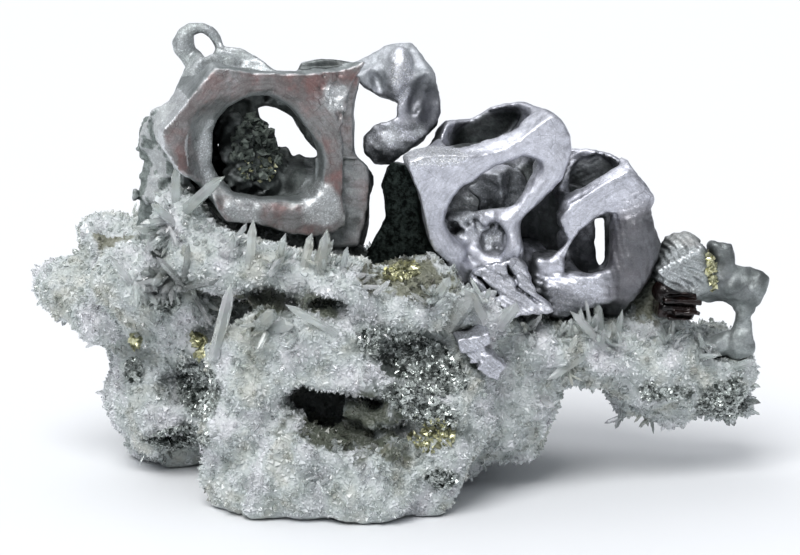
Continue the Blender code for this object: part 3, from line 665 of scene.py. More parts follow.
# A shelf and a knot of metal in the hollow, and the bar up its right side
CENTRE_SHELF = [(5.9, 31.9, -5, 1.2), (8.4, 32.4, -5.5, 0.9), (11.0, 32.5, -6, 0.9), (13.6, 32.4, -6.6, 1.1)]
CENTRE_KNOT = [
    (8.8, 31.6, -4.6, 1.3), (8.6, 29.8, -5, 1.6), (9.2, 28.0, -5.4, 2.0), (11.0, 26.6, -6, 2.0),
    (12.8, 27.0, -7, 1.2), (13.7, 28.8, -7.6, 1.1), (13.8, 30.8, -7.2, 1.0),
]
CENTRE_BAR = [
    (13.0, 31.8, -6.9, 1.2), (14.8, 33.4, -6.6, 1.0), (16.4, 35.0, -6.5, 1.0), (18.0, 37.0, -6.2, 1.25),
    (19.4, 39.4, -6.0, 1.5), (19.4, 42.0, -5.4, 1.8),
]


def centre_form():
    """A cube that leans back to the left, with a broad frame at its front and a knot of metal in it."""
    form = Form((-5.5, -13.5, 21.0), (24.5, 12.5, 50.5), LARGE_STEP)
    form.add(prism(CENTRE, CENTRE_FACE, 0, 4.0, rounding=0.5))
    form.add(block(CENTRE.at(0, 8.4, 0), (19.0, 15.2, 15.8), CENTRE.turn, 1.0), 0.8)
    # Its left side flares as it goes down
    form.add(bore(CENTRE_SIDE, -6.5, 6.0, 0.6), 0.6)
    form.take(CENTRE.lobe((10.2, 6.6, -6.8), (7.4, 9.6, 7.0)), 0.6)
    form.take(CENTRE.lobe((-9.5, 15.5, 10.0), (7.5, 9.0, 6.2)), 1.0)
    form.take(bore(CENTRE_GONE, -12.0, 3.0), 0.5)
    # The leaning hollow at its front, the deep one at its top, and the room that joins them
    form.take(prism(CENTRE, CENTRE_MOUTH, -4, 6, flare=0.02), 1.3)
    form.take(CENTRE.lobe((-0.6, 7.0, 0.6), (6.8, 5.6, 5.0)), 0.8)
    form.take(CENTRE.lobe((1.4, 8.2, 5.4), (6.0, 5.6, 5.2)), 1.0)
    form.add(bore(CENTRE_RIM, 5.6, 9.4, 0.8), 0.8)
    form.take(bore(CENTRE_TOP, -5.0, 6.6, 0.6), 1.1)
    form.add(bore(CENTRE_FAR, 2.6, 6.4, 0.8), 1.0)
    # A fin, a shelf and a knot in the hollow, and the bar up its right side
    form.add(bore(CENTRE_FIN, -2.4, 1.5, 0.6), 1.2)
    form.add(block(place(12.2, 35.0, -1.4), (3.4, 3.4, 7.4), turned(yaw=52, roll=-12), 0.3), 0.5)
    form.add(limb(*CENTRE_SHELF), 0.7)
    form.add(lobe(place(10.8, 29.6, -3.2), (3.0, 2.2, 3.4)), 0.6)
    form.add(limb(*CENTRE_KNOT), 0.5)
    form.add(limb((10.0, 27.6, -3, 2.6), (13.0, 26.6, -1, 3.0), (15.6, 27.0, 1, 3.0)), 0.8)
    form.add(limb(*CENTRE_BAR), 0.7)
    form.take(leaning((11.2, 29.8, -7.6), (1.5, 2.3, 1.9), 14), 0.7)
    form.take(leaning((9.6, 30.9, -7.4), (0.9, 1.9, 0.9), -30), 0.4)
    form.take(leaning((6.9, 31.2, -6.0), (0.7, 3.0, 1.0), -24), 0.4)
    form.take(leaning((7.9, 34.0, -6.6), (1.2, 2.0, 0.6), -38), 0.4)
    form.take(CENTRE.lobe((0.6, 17.6, -1.6), (5.6, 3.0, 5.2)), 0.6)
    form.keep(bore(CENTRE_OUTLINE, *THROUGH, 0.3), 0.5)
    near, points = form.skin(1.6)
    local = CENTRE.local(points)
    inside = eased(0.5, 1.6, local[:, 1]) * (points[:, 1] < 4.5) * (local[:, 2] < 5.0)
    inside *= within(points, CENTRE_MOUTH, 0.3) * (1 - 0.8 * eased(31.6, 33.4, seen(points)[:, 1]))
    form.field[near] += (0.65 * noise(points, 1.5, 63) + 0.5 * noise(points, 0.75, 64)) * inside
    behind = eased(8.5, 12.0, local[:, 1]) * (1 - eased(0.0, 2.5, local[:, 2]))
    form.field[near] += 0.7 * noise(points, 3.4, 66) * behind
    form.roughen([(0.22, 3.2), (0.08, 1.0), (0.05, 0.45)], 7)
    return form


RIGHT = Face((25.4, 33.9, -6.0), yaw=4, pitch=9, roll=-31)
RIGHT_BAR = [
    (19.6, 32.0), (21.1, 33.6), (22.8, 35.0), (24.4, 36.0), (26.5, 37.2), (27.6, 37.8), (29.2, 36.4),
    (30.7, 35.2), (31.1, 34.7), (30.4, 33.4), (29.6, 33.2), (27.8, 33.0), (25.8, 32.8), (24.2, 32.2),
    (22.4, 30.6), (21.2, 29.2), (20.4, 29.6), (20.0, 30.8),
]
RIGHT_TOP = [
    (21.2, 33.8), (20.9, 36.6), (21.2, 38.6), (22.4, 39.9), (24.6, 40.3), (26.2, 39.6), (27.0, 38.2),
    (25.4, 37.0), (23.0, 35.4),
]
RIGHT_RIM = [(19.0, 34.0), (19.0, 43.0), (28.4, 43.0), (28.4, 34.0)]
RIGHT_OUTLINE = [
    (11.0, 20.0), (11.0, 40.0), (20.0, 40.6), (20.8, 41.0), (23.1, 41.1), (26.1, 40.4), (27.6, 39.4),
    (29.1, 37.3), (30.6, 35.5), (31.1, 34.7), (30.5, 33.4), (31.0, 31.4), (31.5, 30.1), (32.3, 29.2),
    (31.9, 28.2), (31.5, 27.0), (30.6, 25.0), (29.4, 23.4), (28.0, 21.6), (28.0, 18.0), (11.0, 18.0),
]
RIGHT_WINDOW = [
    (21.3, 27.0), (21.0, 28.8), (21.6, 29.9), (23.2, 31.2), (24.2, 31.9), (25.4, 32.3), (25.7, 29.6),
    (25.5, 27.0), (24.6, 25.7), (22.9, 25.5), (21.8, 26.0),
]
RIGHT_WALL = [(19.4, 33.4), (24.2, 34.4), (28.4, 33.4), (28.4, 24.4), (19.4, 24.4)]
RIGHT_LIGHT = [
    (24.2, 32.3), (25.4, 32.5), (25.5, 29.8), (25.4, 27.2), (24.8, 26.3), (24.4, 27.2), (24.1, 29.5),
]
# Its near right post, its far right one and its far left one
RIGHT_POSTS = [
    [(29.2, 35.2, -3, 2.4), (28.6, 31.8, -3, 3.2), (28.4, 28.4, -3, 3.5), (27.6, 25.4, -3, 3.4),
     (26.2, 23.0, -2, 2.8)],
    [(29.0, 37.4, 4, 1.9), (29.6, 33.0, 4, 2.3), (29.2, 27.4, 3, 3.0), (27.8, 24.0, 3, 3.2)],
    [(21.6, 37.4, 4, 2.0), (21.9, 33.4, 4, 2.0), (22.2, 28.4, 3, 2.0), (22.5, 25.2, 2, 2.4)],
]


def right_form():
    """A smaller cube that leans further, open at its front and top, on a block that is not."""
    form = Form((12.0, -10.5, 18.0), (35.0, 9.5, 44.0), LARGE_STEP)
    form.add(prism(RIGHT, RIGHT_BAR, 0.4, 3.4, rounding=0.4))
    form.add(block(RIGHT.at(0.4, 5.8, 0.6), (11.0, 10.4, 4.4), RIGHT.turn, 1.2), 0.6)
    # Its near right corner runs down as a wide post, and the others are thinner
    for post in RIGHT_POSTS:
        form.add(limb(*post), 0.8)
    form.add(limb((21.4, 30.2, -5.4, 0.8), (20.4, 28.8, -5.2, 0.5), (19.2, 27.4, -4.8, 0.8)), 0.4)
    form.add(block(place(21.4, 23.9, -2.4), (8.4, 8.6, 5.0), turned(yaw=6, roll=-14), 1.2), 0.9)
    form.add(block(place(17.9, 25.2, -2.6), (3.6, 6.4, 5.6), turned(yaw=6, roll=4), 0.6), 0.5)
    form.take(RIGHT.lobe((0.4, 6.0, 1.0), (4.2, 3.6, 5.4)), 0.8)
    form.add(bore(RIGHT_RIM, 3.8, 6.6), 0.8)
    form.take(bore(RIGHT_TOP, -3.2, 4.4, 0.5), 0.9)
    form.take(bore(RIGHT_WINDOW, -12.0, 2.0, 0.6), 1.0)
    form.add(bore(RIGHT_WALL, 2.4, 5.6, 0.5), 1.0)
    form.take(bore(RIGHT_LIGHT, -8.0, 9.0, 0.2), 0.3)
    form.keep(bore(RIGHT_OUTLINE, *THROUGH, 0.2), 0.5)
    form.groove((1, 0, 0.15), 0.75, 0.05, lambda p: (seen(p)[:, 0] > 25.6) & (seen(p)[:, 1] < 33))
    form.groove((0.25, 0, 0.97), 0.8, 0.09, lambda p: (seen(p)[:, 0] < 25.6) & (seen(p)[:, 1] < 25.6))
    form.groove((0.5, 0, -0.86), 0.7, 0.05, lambda p: seen(p)[:, 1] > 32)
    form.roughen([(0.2, 2.8), (0.08, 0.9), (0.05, 0.45)], 11)
    return form


HOOK_OUTLINE = [
    (-6.8, 51.3), (-3.8, 52.6), (-1.9, 53.9), (-0.6, 54.1), (1.4, 54.2), (2.9, 52.4), (4.4, 50.2),
    (5.2, 47.2), (5.1, 45.1), (4.6, 43.9), (2.9, 42.1), (0.6, 40.3), (-1.2, 39.0), (-3.2, 39.0),
    (-4.5, 40.6), (-4.6, 42.6), (-3.2, 44.0), (-1.7, 44.2), (-0.3, 44.7), (-0.4, 46.5), (-1.6, 47.0),
    (-3.0, 47.5), (-4.8, 48.6), (-5.8, 49.8),
]


def hook_form():
    """A limb that bends over from behind the left crystal to the centre one."""
    form = Form((-9.0, -3.5, 36.5), (7.0, 12.0, 56.0), SMALL_STEP)
    form.add(bore(HOOK_OUTLINE, 0.5, 7.5, 0.4), 0.3)
    form.take(leaning((1.4, 53.6, 0.6), (5.2, 2.6, 3.4), 18), 1.2)
    form.take(leaning((-4.6, 52.6, 1.2), (3.6, 2.2, 2.0), -30), 1.2)
    form.take(leaning((4.6, 46.2, 0.6), (2.0, 2.4, 4.0), 8), 1.0)
    form.add(lobe(place(-1.8, 41.7, 2.6), (2.5, 3.0, 2.5)), 0.5)
    # A leaf-shaped facet on its shoulder, and a dark groove under it
    form.add(leaning((-0.4, 50.2, 1.8), (1.9, 2.4, 3.4), 10), 0.5)
    form.take(leaning((2.4, 47.4, 0.2), (1.1, 1.8, 3.0), 24), 0.6)
    form.take(leaning((-2.8, 48.8, 0.2), (0.9, 1.4, 2.0), -24), 0.8)
    form.keep(bore(HOOK_OUTLINE, *THROUGH, 0.3), 0.8)
    form.roughen([(0.26, 2.4), (0.12, 1.0), (0.07, 0.45)], 15)
    return form


LOWER = Face((14.0, 24.0, -10.2), yaw=4, pitch=-12)
LOWER_BLOCK = [
    (10.6, 26.6), (12.8, 26.9), (14.4, 27.9), (15.3, 26.6), (15.9, 24.4), (16.6, 23.2), (18.2, 22.0),
    (18.6, 20.9), (13.6, 20.4), (12.5, 21.1), (10.5, 22.6), (8.6, 24.5), (9.0, 25.9),
]
LOWER_CRACKS = [
    [(9.0, 25.4), (9.9, 25.1), (10.8, 23.9), (12.2, 22.9), (12.1, 22.6), (10.5, 23.6), (9.7, 24.8)],
    [(12.9, 27.6), (13.2, 26.1), (14.1, 25.2), (14.4, 23.7), (14.2, 23.6), (13.8, 24.9), (12.9, 25.9)],
    [(14.4, 23.8), (15.6, 23.1), (16.8, 22.0), (16.6, 21.9), (15.4, 22.9), (14.3, 23.5)],
]


def lower_block_form():
    """A striated block with cracks, below the centre crystal."""
    form = Form((7.5, -13.0, 18.5), (21.5, 1.0, 31.5), SMALL_STEP)
    form.add(prism(LOWER, LOWER_BLOCK, 0, 7.0, flare=0.04, rounding=0.3))
    for crack in LOWER_CRACKS:
        form.take(bore(crack, -12.5, -7.6, 0.1), 0.2)
    form.groove((0.55, 0, 0.84), 0.8, 0.08, lambda p: 1)
    form.roughen([(0.3, 2.4), (0.12, 0.9), (0.05, 0.4)], 19)
    return form


END_OUTLINE = [
    (30.6, 24.0), (31.0, 28.0), (31.9, 29.6), (33.8, 31.0), (36.0, 31.0), (37.0, 29.8), (38.4, 29.9),
    (41.2, 29.4), (41.4, 28.2), (42.0, 26.8), (44.6, 26.3), (45.6, 25.0), (45.3, 23.5), (44.2, 21.8),
    (43.6, 20.2), (44.0, 18.2), (44.2, 15.9), (41.4, 14.6), (36.0, 14.6), (36.0, 19.0), (30.6, 19.0),
]
END_HOLE = [
    (37.6, 17.7), (39.0, 20.4), (39.8, 22.1), (41.2, 21.7), (41.6, 20.7), (41.2, 19.2), (39.6, 18.2),
    (38.2, 17.2),
]


# The bent arm: stations as of the other limbs, and how softly each part joins
END_ARM = [
    ([(36.0, 24.6, 1, 2.4), (39.6, 24.4, 1, 2.4), (42.6, 23.8, 1, 2.6), (44.4, 24.4, 1, 1.7)], 0.8),
    ([(43.8, 23.6, 1, 1.9), (42.8, 21.0, 1, 1.5), (42.6, 18.8, 1, 1.5), (42.2, 17.0, 1, 2.1)], 0.5),
    ([(43.2, 16.6, 1, 1.2), (41.0, 17.0, 1, 1.5), (38.6, 16.4, 1, 1.6)], 0.5),
]


def end_form():
    """Blocks and a bent arm at the far right of the specimen."""
    form = Form((27.0, -8.0, 12.0), (48.0, 7.0, 34.0), SMALL_STEP)
    form.add(block(place(34.4, 26.0, -1.0), (6.4, 7.0, 6.0), turned(yaw=14, pitch=8, roll=-24), 0.5))
    form.add(lobe(place(34.9, 29.3, 0), (2.2, 2.2, 1.5)), 0.6)
    form.add(block(place(39.6, 27.6, 1.0), (3.0, 3.8, 4.2), turned(roll=8), 0.7), 0.5)
    for stations, blend in END_ARM:
        form.add(limb(*stations), blend)
    form.take(bore(END_HOLE, -7, 7, 0.2), 0.4)
    form.keep(bore(END_OUTLINE, *THROUGH, 0.2), 0.5)
    form.groove((0.57, 0, 0.82), 0.85, 0.13, lambda p: (p[:, 0] < 37.2) & (seen(p)[:, 1] > 23.4))
    form.roughen([(0.4, 2.4), (0.2, 1.0), (0.08, 0.45)], 23)
    return form


# Steps of the sphalerite at the far right: seen across and up, how far back, and how wide
SPHALERITE_STEPS = [
    (34.2, 23.4, -3.7, 3.4), (34.4, 22.4, -4.3, 4.6), (34.0, 21.5, -3.9, 4.4), (35.0, 20.9, -4.4, 3.2),
    (34.4, 20.2, -4.1, 3.6),
]


def sphalerite_form():
    """A dark block with steps across it, under the first block at the far right."""
    form = Form((29.5, -8.5, 16.5), (38.5, 2.0, 28.0), SMALL_STEP * 0.8)
    form.add(block(place(33.8, 22.0, -2.8), (4.8, 3.6, 3.2), turned(yaw=10, roll=4), 0.2))
    form.add(lobe(place(32.4, 23.3, -3.6), (1.5, 1.8, 1.5)), 0.2)
    for *where, width in SPHALERITE_STEPS:
        form.add(block(place(*where), (width, 3.0, 0.5), turned(yaw=8, roll=5), 0.1), 0.1)
    form.roughen([(0.2, 1.6), (0.08, 0.6)], 29)
    return form


# Blocks of the two small crystals: where they are seen and how far back, their size, and their turn
SMALL_BLOCKS = [
    ((8.6, 17.8, -15.6), (3.8, 3.4, 1.6), (10, 12, -10)),
    ((9.2, 16.9, -15.2), (2.0, 3.2, 1.4), (-10, 20, -30)),
    ((10.8, 14.9, -15.0), (3.2, 3.4, 2.4), (20, 16, 32)),
    ((10.0, 15.6, -15.6), (2.4, 2.4, 1.4), (-12, 8, 12)),
]


def small_form():
    """Two small crystals on the front of the matrix."""
    form = Form((5.0, -19.5, 12.5), (14.0, -11.0, 24.0), SMALL_STEP * 0.7)
    for where, size, turn in SMALL_BLOCKS:
        form.add(block(place(*where), size, turned(*turn), 0.15), 0.2)
    form.roughen([(0.3, 1.6), (0.14, 0.6)], 27)
    return form


# Quartz

# Where the quartz grows longest: its foot as seen across and up; the tip from there, right, up and back;
# and the width.
LARGE_NEEDLES = [
    ((-27.1, 34.4), (0.1, 4.4, -0.5), 1.2),
    ((-25.6, 33.4), (4.6, 4.0, -2.5), 1.5),
    ((-17.8, 27.2), (0.4, 5.0, -1.0), 1.2),
    ((-14.6, 27.2), (0.9, 3.2, -1.0), 1.0),
    ((-11.5, 26.6), (1.0, 3.8, -1.0), 1.2),
    ((-9.4, 26.2), (0.9, 4.8, -1.0), 1.6),
    ((-6.9, 26.0), (0.7, 2.8, -1.0), 1.0),
    ((-21.9, 17.4), (2.0, 7.2, -3.4), 1.8),
    ((-16.6, 19.6), (1.6, 1.4, -2.6), 2.2),
    ((-14.8, 19.0), (2.4, 0.6, -2.6), 1.8),
    ((6.4, 19.8), (2.4, 3.2, -1.6), 2.4),
    ((9.6, 20.6), (-1.6, 3.0, -1.6), 2.2),
    ((4.6, 22.8), (1.4, 2.2, -1.2), 1.6),
    ((12.4, 19.6), (1.8, 2.4, -1.4), 1.6),
    ((17.9, 20.2), (0.2, 2.8, -1.0), 1.1),
    ((-33.0, 24.6), (-2.2, 3.2, -1.6), 1.1),
    ((-29.6, 22.6), (-0.6, 4.0, -2.0), 1.2),
    ((-26.6, 24.8), (-2.6, 2.8, -1.6), 1.0),
    ((-25.8, 25.6), (0.5, 3.6, -1.6), 1.0),
    ((-27.2, 23.6), (-3.0, -1.2, -1.6), 1.0),
    ((-24.8, 24.2), (3.2, 0.6, -2.4), 1.1),
    ((-24.6, 22.4), (3.0, -1.4, -2.4), 1.0),
    ((-8.8, 19.1), (-4.8, 2.8, -1.8), 1.3),
    ((15.4, 20.2), (0.9, 3.2, -1.4), 1.4),
    ((24.2, 17.5), (-3.5, 3.5, -2.0), 1.4),
    ((24.6, 19.0), (-0.4, 3.2, -1.0), 1.3),
    ((26.8, 18.4), (0.5, 2.8, -1.0), 1.0),
    ((33.5, 17.4), (0.1, 2.4, -1.0), 0.9),
    ((21.6, 14.9), (-3.8, -2.4, -2.0), 1.1),
    ((41.6, 14.0), (2.6, 0.8, -1.0), 1.0),
    ((42.6, 9.8), (2.6, -0.4, -1.0), 1.0),
]

# Clusters of crystals that spread from one spot: where it is seen, their lengths, and their number
SPRAYS = [
    ((-27.9, 31.4), (2.6, 4.4), 24), ((-31.2, 24.1), (2.6, 4.2), 24), ((-28.1, 25.2), (2.8, 4.6), 20),
    ((-24.4, 22.5), (2.6, 4.2), 18), ((-20.4, 28.4), (2.0, 3.4), 16), ((-14.4, 26.8), (2.0, 3.4), 18),
    ((-8.8, 26.2), (2.0, 3.4), 16), ((-4.4, 24.4), (1.6, 2.8), 12), ((-17.2, 19.2), (1.8, 3.0), 12),
    ((3.8, 21.8), (1.8, 3.0), 14), ((9.4, 21.6), (1.8, 3.0), 12), ((15.0, 18.3), (2.0, 3.4), 14),
    ((20.0, 17.6), (2.0, 3.2), 12), ((23.6, 18.2), (2.0, 3.4), 18), ((26.4, 16.6), (1.8, 3.0), 14),
    ((33.1, 16.8), (1.6, 2.8), 14), ((37.4, 15.6), (1.6, 2.6), 12), ((41.6, 12.4), (1.6, 2.6), 12),
    ((-38.0, 21.0), (1.4, 2.4), 12),
    ((-34.0, 12.4), (1.4, 2.2), 10), ((17.5, 9.8), (1.4, 2.6), 12), ((20.4, 14.0), (1.4, 2.6), 12),
    ((-19.0, 15.0), (1.2, 2.2), 10), ((-12.4, 17.8), (1.4, 2.4), 12), ((-3.4, 19.0), (1.4, 2.4), 10),
    ((-2.0, 2.2), (1.0, 2.0), 10), ((-10.4, 1.4), (1.0, 2.0), 10), ((6.4, 4.0), (1.0, 2.0), 10),
    ((-6.9, 4.6), (0.8, 1.6), 12), ((-12.0, 6.6), (0.8, 1.6), 8),
]

# Holes in the quartz: place seen across and up and back, reach across, back and up, and their lean
HOLLOWS = [
    ((-8.4, 8.6, -24), (6.4, 14.0, 2.6), 6),
    ((-4.6, 7.2, -24), (4.4, 12.0, 2.6), 12),
    ((-0.8, 5.9, -24), (5.0, 10.0, 1.3), 24),
    ((-6.6, 6.2, -22), (6.0, 7.4, 2.1), 10),
    ((-27.5, 11.0, -4), (3.4, 5.5, 2.8), 25),
    ((-24.6, 9.0, -8), (2.8, 7.5, 4.2), -20),
    ((-16.2, 21.8, -18), (4.8, 6.5, 1.9), 10),
    ((-8.8, 21.4, -19), (3.0, 6.0, 1.5), -5),
    ((-28.0, 4.6, -1), (4.8, 4.5, 1.4), 0),
    ((-29.8, 30.6, -5), (1.0, 4.0, 1.0), 0),
    ((-29.4, 28.4, -6), (1.4, 4.0, 0.8), 0),
    ((-30.2, 24.8, -7), (1.3, 4.0, 0.8), -10),
    ((14.6, 16.6, -13), (1.0, 3.0, 1.2), 0),
]

# Lumps in or beside the hollows: place seen and back, radii, and lean
LUMPS = [
    ((-5.2, 9.6, -14.0), (1.6, 4.0, 1.5), 34),
    ((-3.4, 8.2, -15.0), (1.3, 4.0, 1.2), -10),
    ((-1.6, 8.6, -14.5), (1.5, 4.0, 1.5), 24),
    ((30.6, 22.6, 1.0), (1.6, 3.2, 3.6), 22),
    ((-16.4, 20.0, -17.0), (1.8, 2.6, 1.0), -12),
    ((0.6, 25.0, -8.0), (5.0, 4.0, 1.8), 4),
]

# Shaded parts of the quartz in and by the hollows, like the dark patches below
SHADED_PATCHES = [
    ((-3.6, 8.0), (5.4, 2.8), -10),
    ((-6.6, 5.8), (6.8, 2.4), -12),
    ((0.6, 4.6), (3.6, 1.2), -24),
    ((-26.6, 23.6), (3.0, 1.4), -20),
    ((-14.0, 21.6), (7.0, 1.8), 0),
]

# Olive and brown parts of the quartz
OLIVE_PATCHES = [
    ((1.2, 25.2), (5.6, 2.6), -8),
    ((30.2, 22.8), (2.4, 3.8), 20),
    ((-3.4, 8.6), (3.6, 2.2), 0),
    ((-10.0, 21.6), (2.4, 1.4), 0),
    ((-17.0, 22.0), (3.6, 1.8), 0),
    ((-36.0, 30.6), (3.0, 2.0), 10),
    ((-6.6, 6.0), (6.0, 2.2), -10),
    ((-1.6, 4.4), (3.4, 1.0), -26),
]

# Dark patches on the quartz: place seen across and up, how far they reach both ways, and their lean
DARK_PATCHES = [
    ((0.6, 16.4), (6.0, 2.2), -14),
    ((3.6, 13.8), (4.8, 2.6), -20),
    ((-24.8, 11.6), (3.0, 4.0), 15),
    ((-27.0, 5.2), (4.4, 1.5), 8),
    ((2.4, 9.6), (5.0, 1.8), -26),
    ((-28.6, 22.0), (2.0, 1.2), 0),
    ((-29.4, 30.0), (1.2, 1.4), 0),
    ((40.2, 9.6), (3.4, 2.6), 10),
    ((33.0, 10.6), (3.4, 0.8), 5),
    ((30.6, 11.2), (1.0, 1.0), 0),
    ((5.0, 0.9), (2.0, 1.1), -10),
    ((-33.0, 13.6), (1.2, 1.6), 0),
]

# Parts of the quartz that few crystals stand on
BARE_PATCHES = [
    ((-32.8, 17.0), (1.6, 1.8), 0),
    ((-24.5, 16.6), (1.7, 2.4), 0),
    ((0.3, 25.8), (2.8, 1.8), 8),
    ((4.4, 6.3), (2.4, 2.2), 0),
    ((-36.2, 31.0), (4.4, 2.6), 0),
    ((30.2, 22.8), (2.0, 3.4), 20),
    ((-3.4, 8.6), (3.0, 2.0), 0),
]

# Rock under and behind the crystals, dark from its shade and the painted shade of the hollows: place and
# radii
UNDER_GALENA = [
    ((-17.0, 28.6, -1.0), (8.5, 5.0, 3.6)),
    ((-24.5, 31.6, -1.0), (4.0, 4.5, 4.6)),
    ((-10.0, 27.4, 0.0), (6.0, 5.0, 3.6)),
    ((-2.0, 24.6, 0.0), (5.5, 5.0, 3.6)),
    ((9.0, 21.4, 0.0), (7.0, 5.0, 3.4)),
    ((20.0, 19.4, 1.0), (8.0, 5.0, 3.2)),
    ((30.0, 19.0, 1.0), (6.0, 4.0, 3.4)),
]


def distances_from(points, faces, low, counts):
    """How far each point of the quartz's grid is outside a closed surface, up to a reach."""
    reach = 2.2
    kind = "quads" if faces.shape[1] == 4 else "triangles"
    grid = openvdb.FloatGrid.createLevelSetFromPolygons(
        points.astype(np.float32), transform=openvdb.createLinearTransform(voxelSize=QUARTZ_STEP),
        halfWidth=reach / QUARTZ_STEP, **{kind: faces.astype(np.uint32)}
    )
    field = np.empty(counts, np.float32)
    grid.copyToArray(field, ijk=tuple(int(number) for number in np.rint(low / QUARTZ_STEP)))
    return field


def matrix_form():
    """The quartz, from its CAD solid with the needles worn off, and roughened."""
    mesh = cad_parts["quartz_matrix"].data
    points = np.empty(len(mesh.vertices) * 3)
    mesh.vertices.foreach_get("co", points)
    points = points.reshape(-1, 3) / MM
    mesh.calc_loop_triangles()
    faces = np.empty(len(mesh.loop_triangles) * 3, int)
    mesh.loop_triangles.foreach_get("vertices", faces)
    low = np.floor((points.min(axis=0) - 2) / QUARTZ_STEP) * QUARTZ_STEP
    form = Form(low, points.max(axis=0) + 2, QUARTZ_STEP)
    wear = 0.8
    form.field = distances_from(points, faces.reshape(-1, 3), low, form.field.shape) + wear
    points, faces = form.surface()
    form.field = distances_from(points, faces, low, form.field.shape) - wear
    for centre, radii in UNDER_GALENA:
        form.add(lobe(place(*centre), radii), 1.0)
    for hollow in HOLLOWS:
        form.take(leaning(*hollow), 0.5)
    for lump in LUMPS:
        form.add(leaning(*lump), 0.4)
    form.roughen([(0.7, 4.6), (0.55, 2.2), (0.3, 1.0)], 31)
    near, points = form.skin(2.0)
    form.field[near] += 1.1 * noise(points, 7.0, 35) * eased(3, 8, points[:, 1])
    low, high = np.array(CAD_BOX) / MM
    form.keep(block((low + high) / 2, high - low + 1.2), 0.3)
    # Its foot is cut off flat
    height = form.low[2] + form.step * np.arange(form.field.shape[2])
    form.field = np.maximum(form.field, 0.05 - height.astype(np.float32))
    return form


def patch_share(points, patches):
    """How far inside a patch each point is seen, from 0 to 1, with ragged edges."""
    flat = seen(points)
    ragged = 0.55 * noise(points, 1.6, 41) + 0.45 * noise(points, 0.7, 42)
    found = np.zeros(len(points))
    for centre, reach, lean in patches:
        lean = math.radians(lean)
        off = flat - centre
        along = (off[:, 0] * math.cos(lean) + off[:, 1] * math.sin(lean)) / reach[0]
        across = (off[:, 1] * math.cos(lean) - off[:, 0] * math.sin(lean)) / reach[1]
        found = np.maximum(found, 1 - eased(0.7, 1.1, np.hypot(along, across) + ragged))
    return found * (points[:, 1] < 4)


def spread(points, faces, weight, count, chance):
    """Random places on a surface, and their face numbers."""
    corners = points[faces]
    share = np.linalg.norm(upright(corners), axis=1) * weight
    chosen = chance.choice(len(faces), count, p=share / share.sum())
    across, up = chance.uniform(size=(2, count, 1))
    a, b, c, d = np.moveaxis(corners[chosen], 1, 0)
    return (a * (1 - across) + b * across) * (1 - up) + (d * (1 - across) + c * across) * up, chosen


def needles(feet, tips, widths, chance, point, sides):
    """The points and faces of crystals with this many sides, pointed over this share of their length.

    Where the share is 1 the sides meet in the point.
    """
    count = len(feet)
    along = tips - feet
    heading = unit(along)
    side = unit(np.cross(heading, chance.normal(size=(count, 3))))
    other = np.cross(heading, side)
    angles = np.arange(sides) * 2 * math.pi / sides
    ring = np.cos(angles)[:, None] * side[:, None] + np.sin(angles)[:, None] * other[:, None]
    ring = ring * chance.uniform(0.75, 1.25, (count, sides, 1)) * widths[:, None, None] / 2
    tip = tips + ring[:, 0] * chance.uniform(-0.4, 0.4, (count, 1))
    rings = [feet[:, None] + ring]
    if point < 1:
        shoulder = (1 - point) + chance.uniform(-0.08, 0.08, (count, sides, 1))
        rings.append(feet[:, None] + along[:, None] * shoulder + ring * 0.88)
    points = np.concatenate((*rings, tip[:, None]), axis=1)
    last = sides * len(rings)
    first = np.arange(count)[:, None, None] * (last + 1)
    turn = np.arange(sides)
    after = (turn + 1) % sides
    ends = first + np.stack((turn + last - sides, after + last - sides, np.full(sides, last)), -1)
    faces = ends.reshape(-1, 3).tolist()
    if point < 1:
        faces += (first + np.stack((turn, after, after + sides, turn + sides), -1)).reshape(-1, 4).tolist()
    return points.reshape(-1, 3), faces


def clear_of(forms, points, gap):
    """Whether each point is further than this gap outside all forms."""
    return np.all([form.at(points) > gap for form in forms], axis=0)


def fitting(feet, tips, outward, forms):
    """Which crystals stay off the metal, near the CAD box and above the floor, and point outwards."""
    low, high = np.array(CAD_BOX) / MM
    kept = clear_of(forms, tips, 0.1) & clear_of(forms, (feet + tips) / 2, 0.1)
    kept &= (tips > low - ROOM).all(axis=1) & (tips < high + ROOM).all(axis=1)
    kept &= np.minimum(feet, tips)[:, 2] > CLEARANCE
    return kept & (((tips - feet) * outward).sum(axis=1) > 0.2 * np.linalg.norm(tips - feet, axis=1))


def burst(foot, outward, lengths, count, chance):
    """Feet, tips and widths of crystals that spread from one spot."""
    heading = unit(outward * 0.9 + chance.normal(0, 0.6, (count, 3)))
    feet = foot + chance.normal(0, 0.6, (count, 3)) - outward * 0.3
    length = chance.uniform(*lengths, count)
    return feet, feet + heading * length[:, None], length * chance.uniform(0.17, 0.32, count)


# Grains

# One grain: its corners and its faces
WEDGE_CORNERS = 0.6 * np.array([
    (1, 0, -0.3), (-0.5, 0.87, -0.2), (-0.5, -0.87, -0.3), (0.1, 0.1, 0.9), (0.5, 0.6, 0.35),
    (-0.7, 0.0, 0.4),
])
WEDGE_FACES = np.array([
    (0, 2, 1), (0, 1, 4), (0, 4, 3), (1, 5, 3), (1, 3, 4), (1, 2, 5), (2, 3, 5), (0, 3, 2),
])

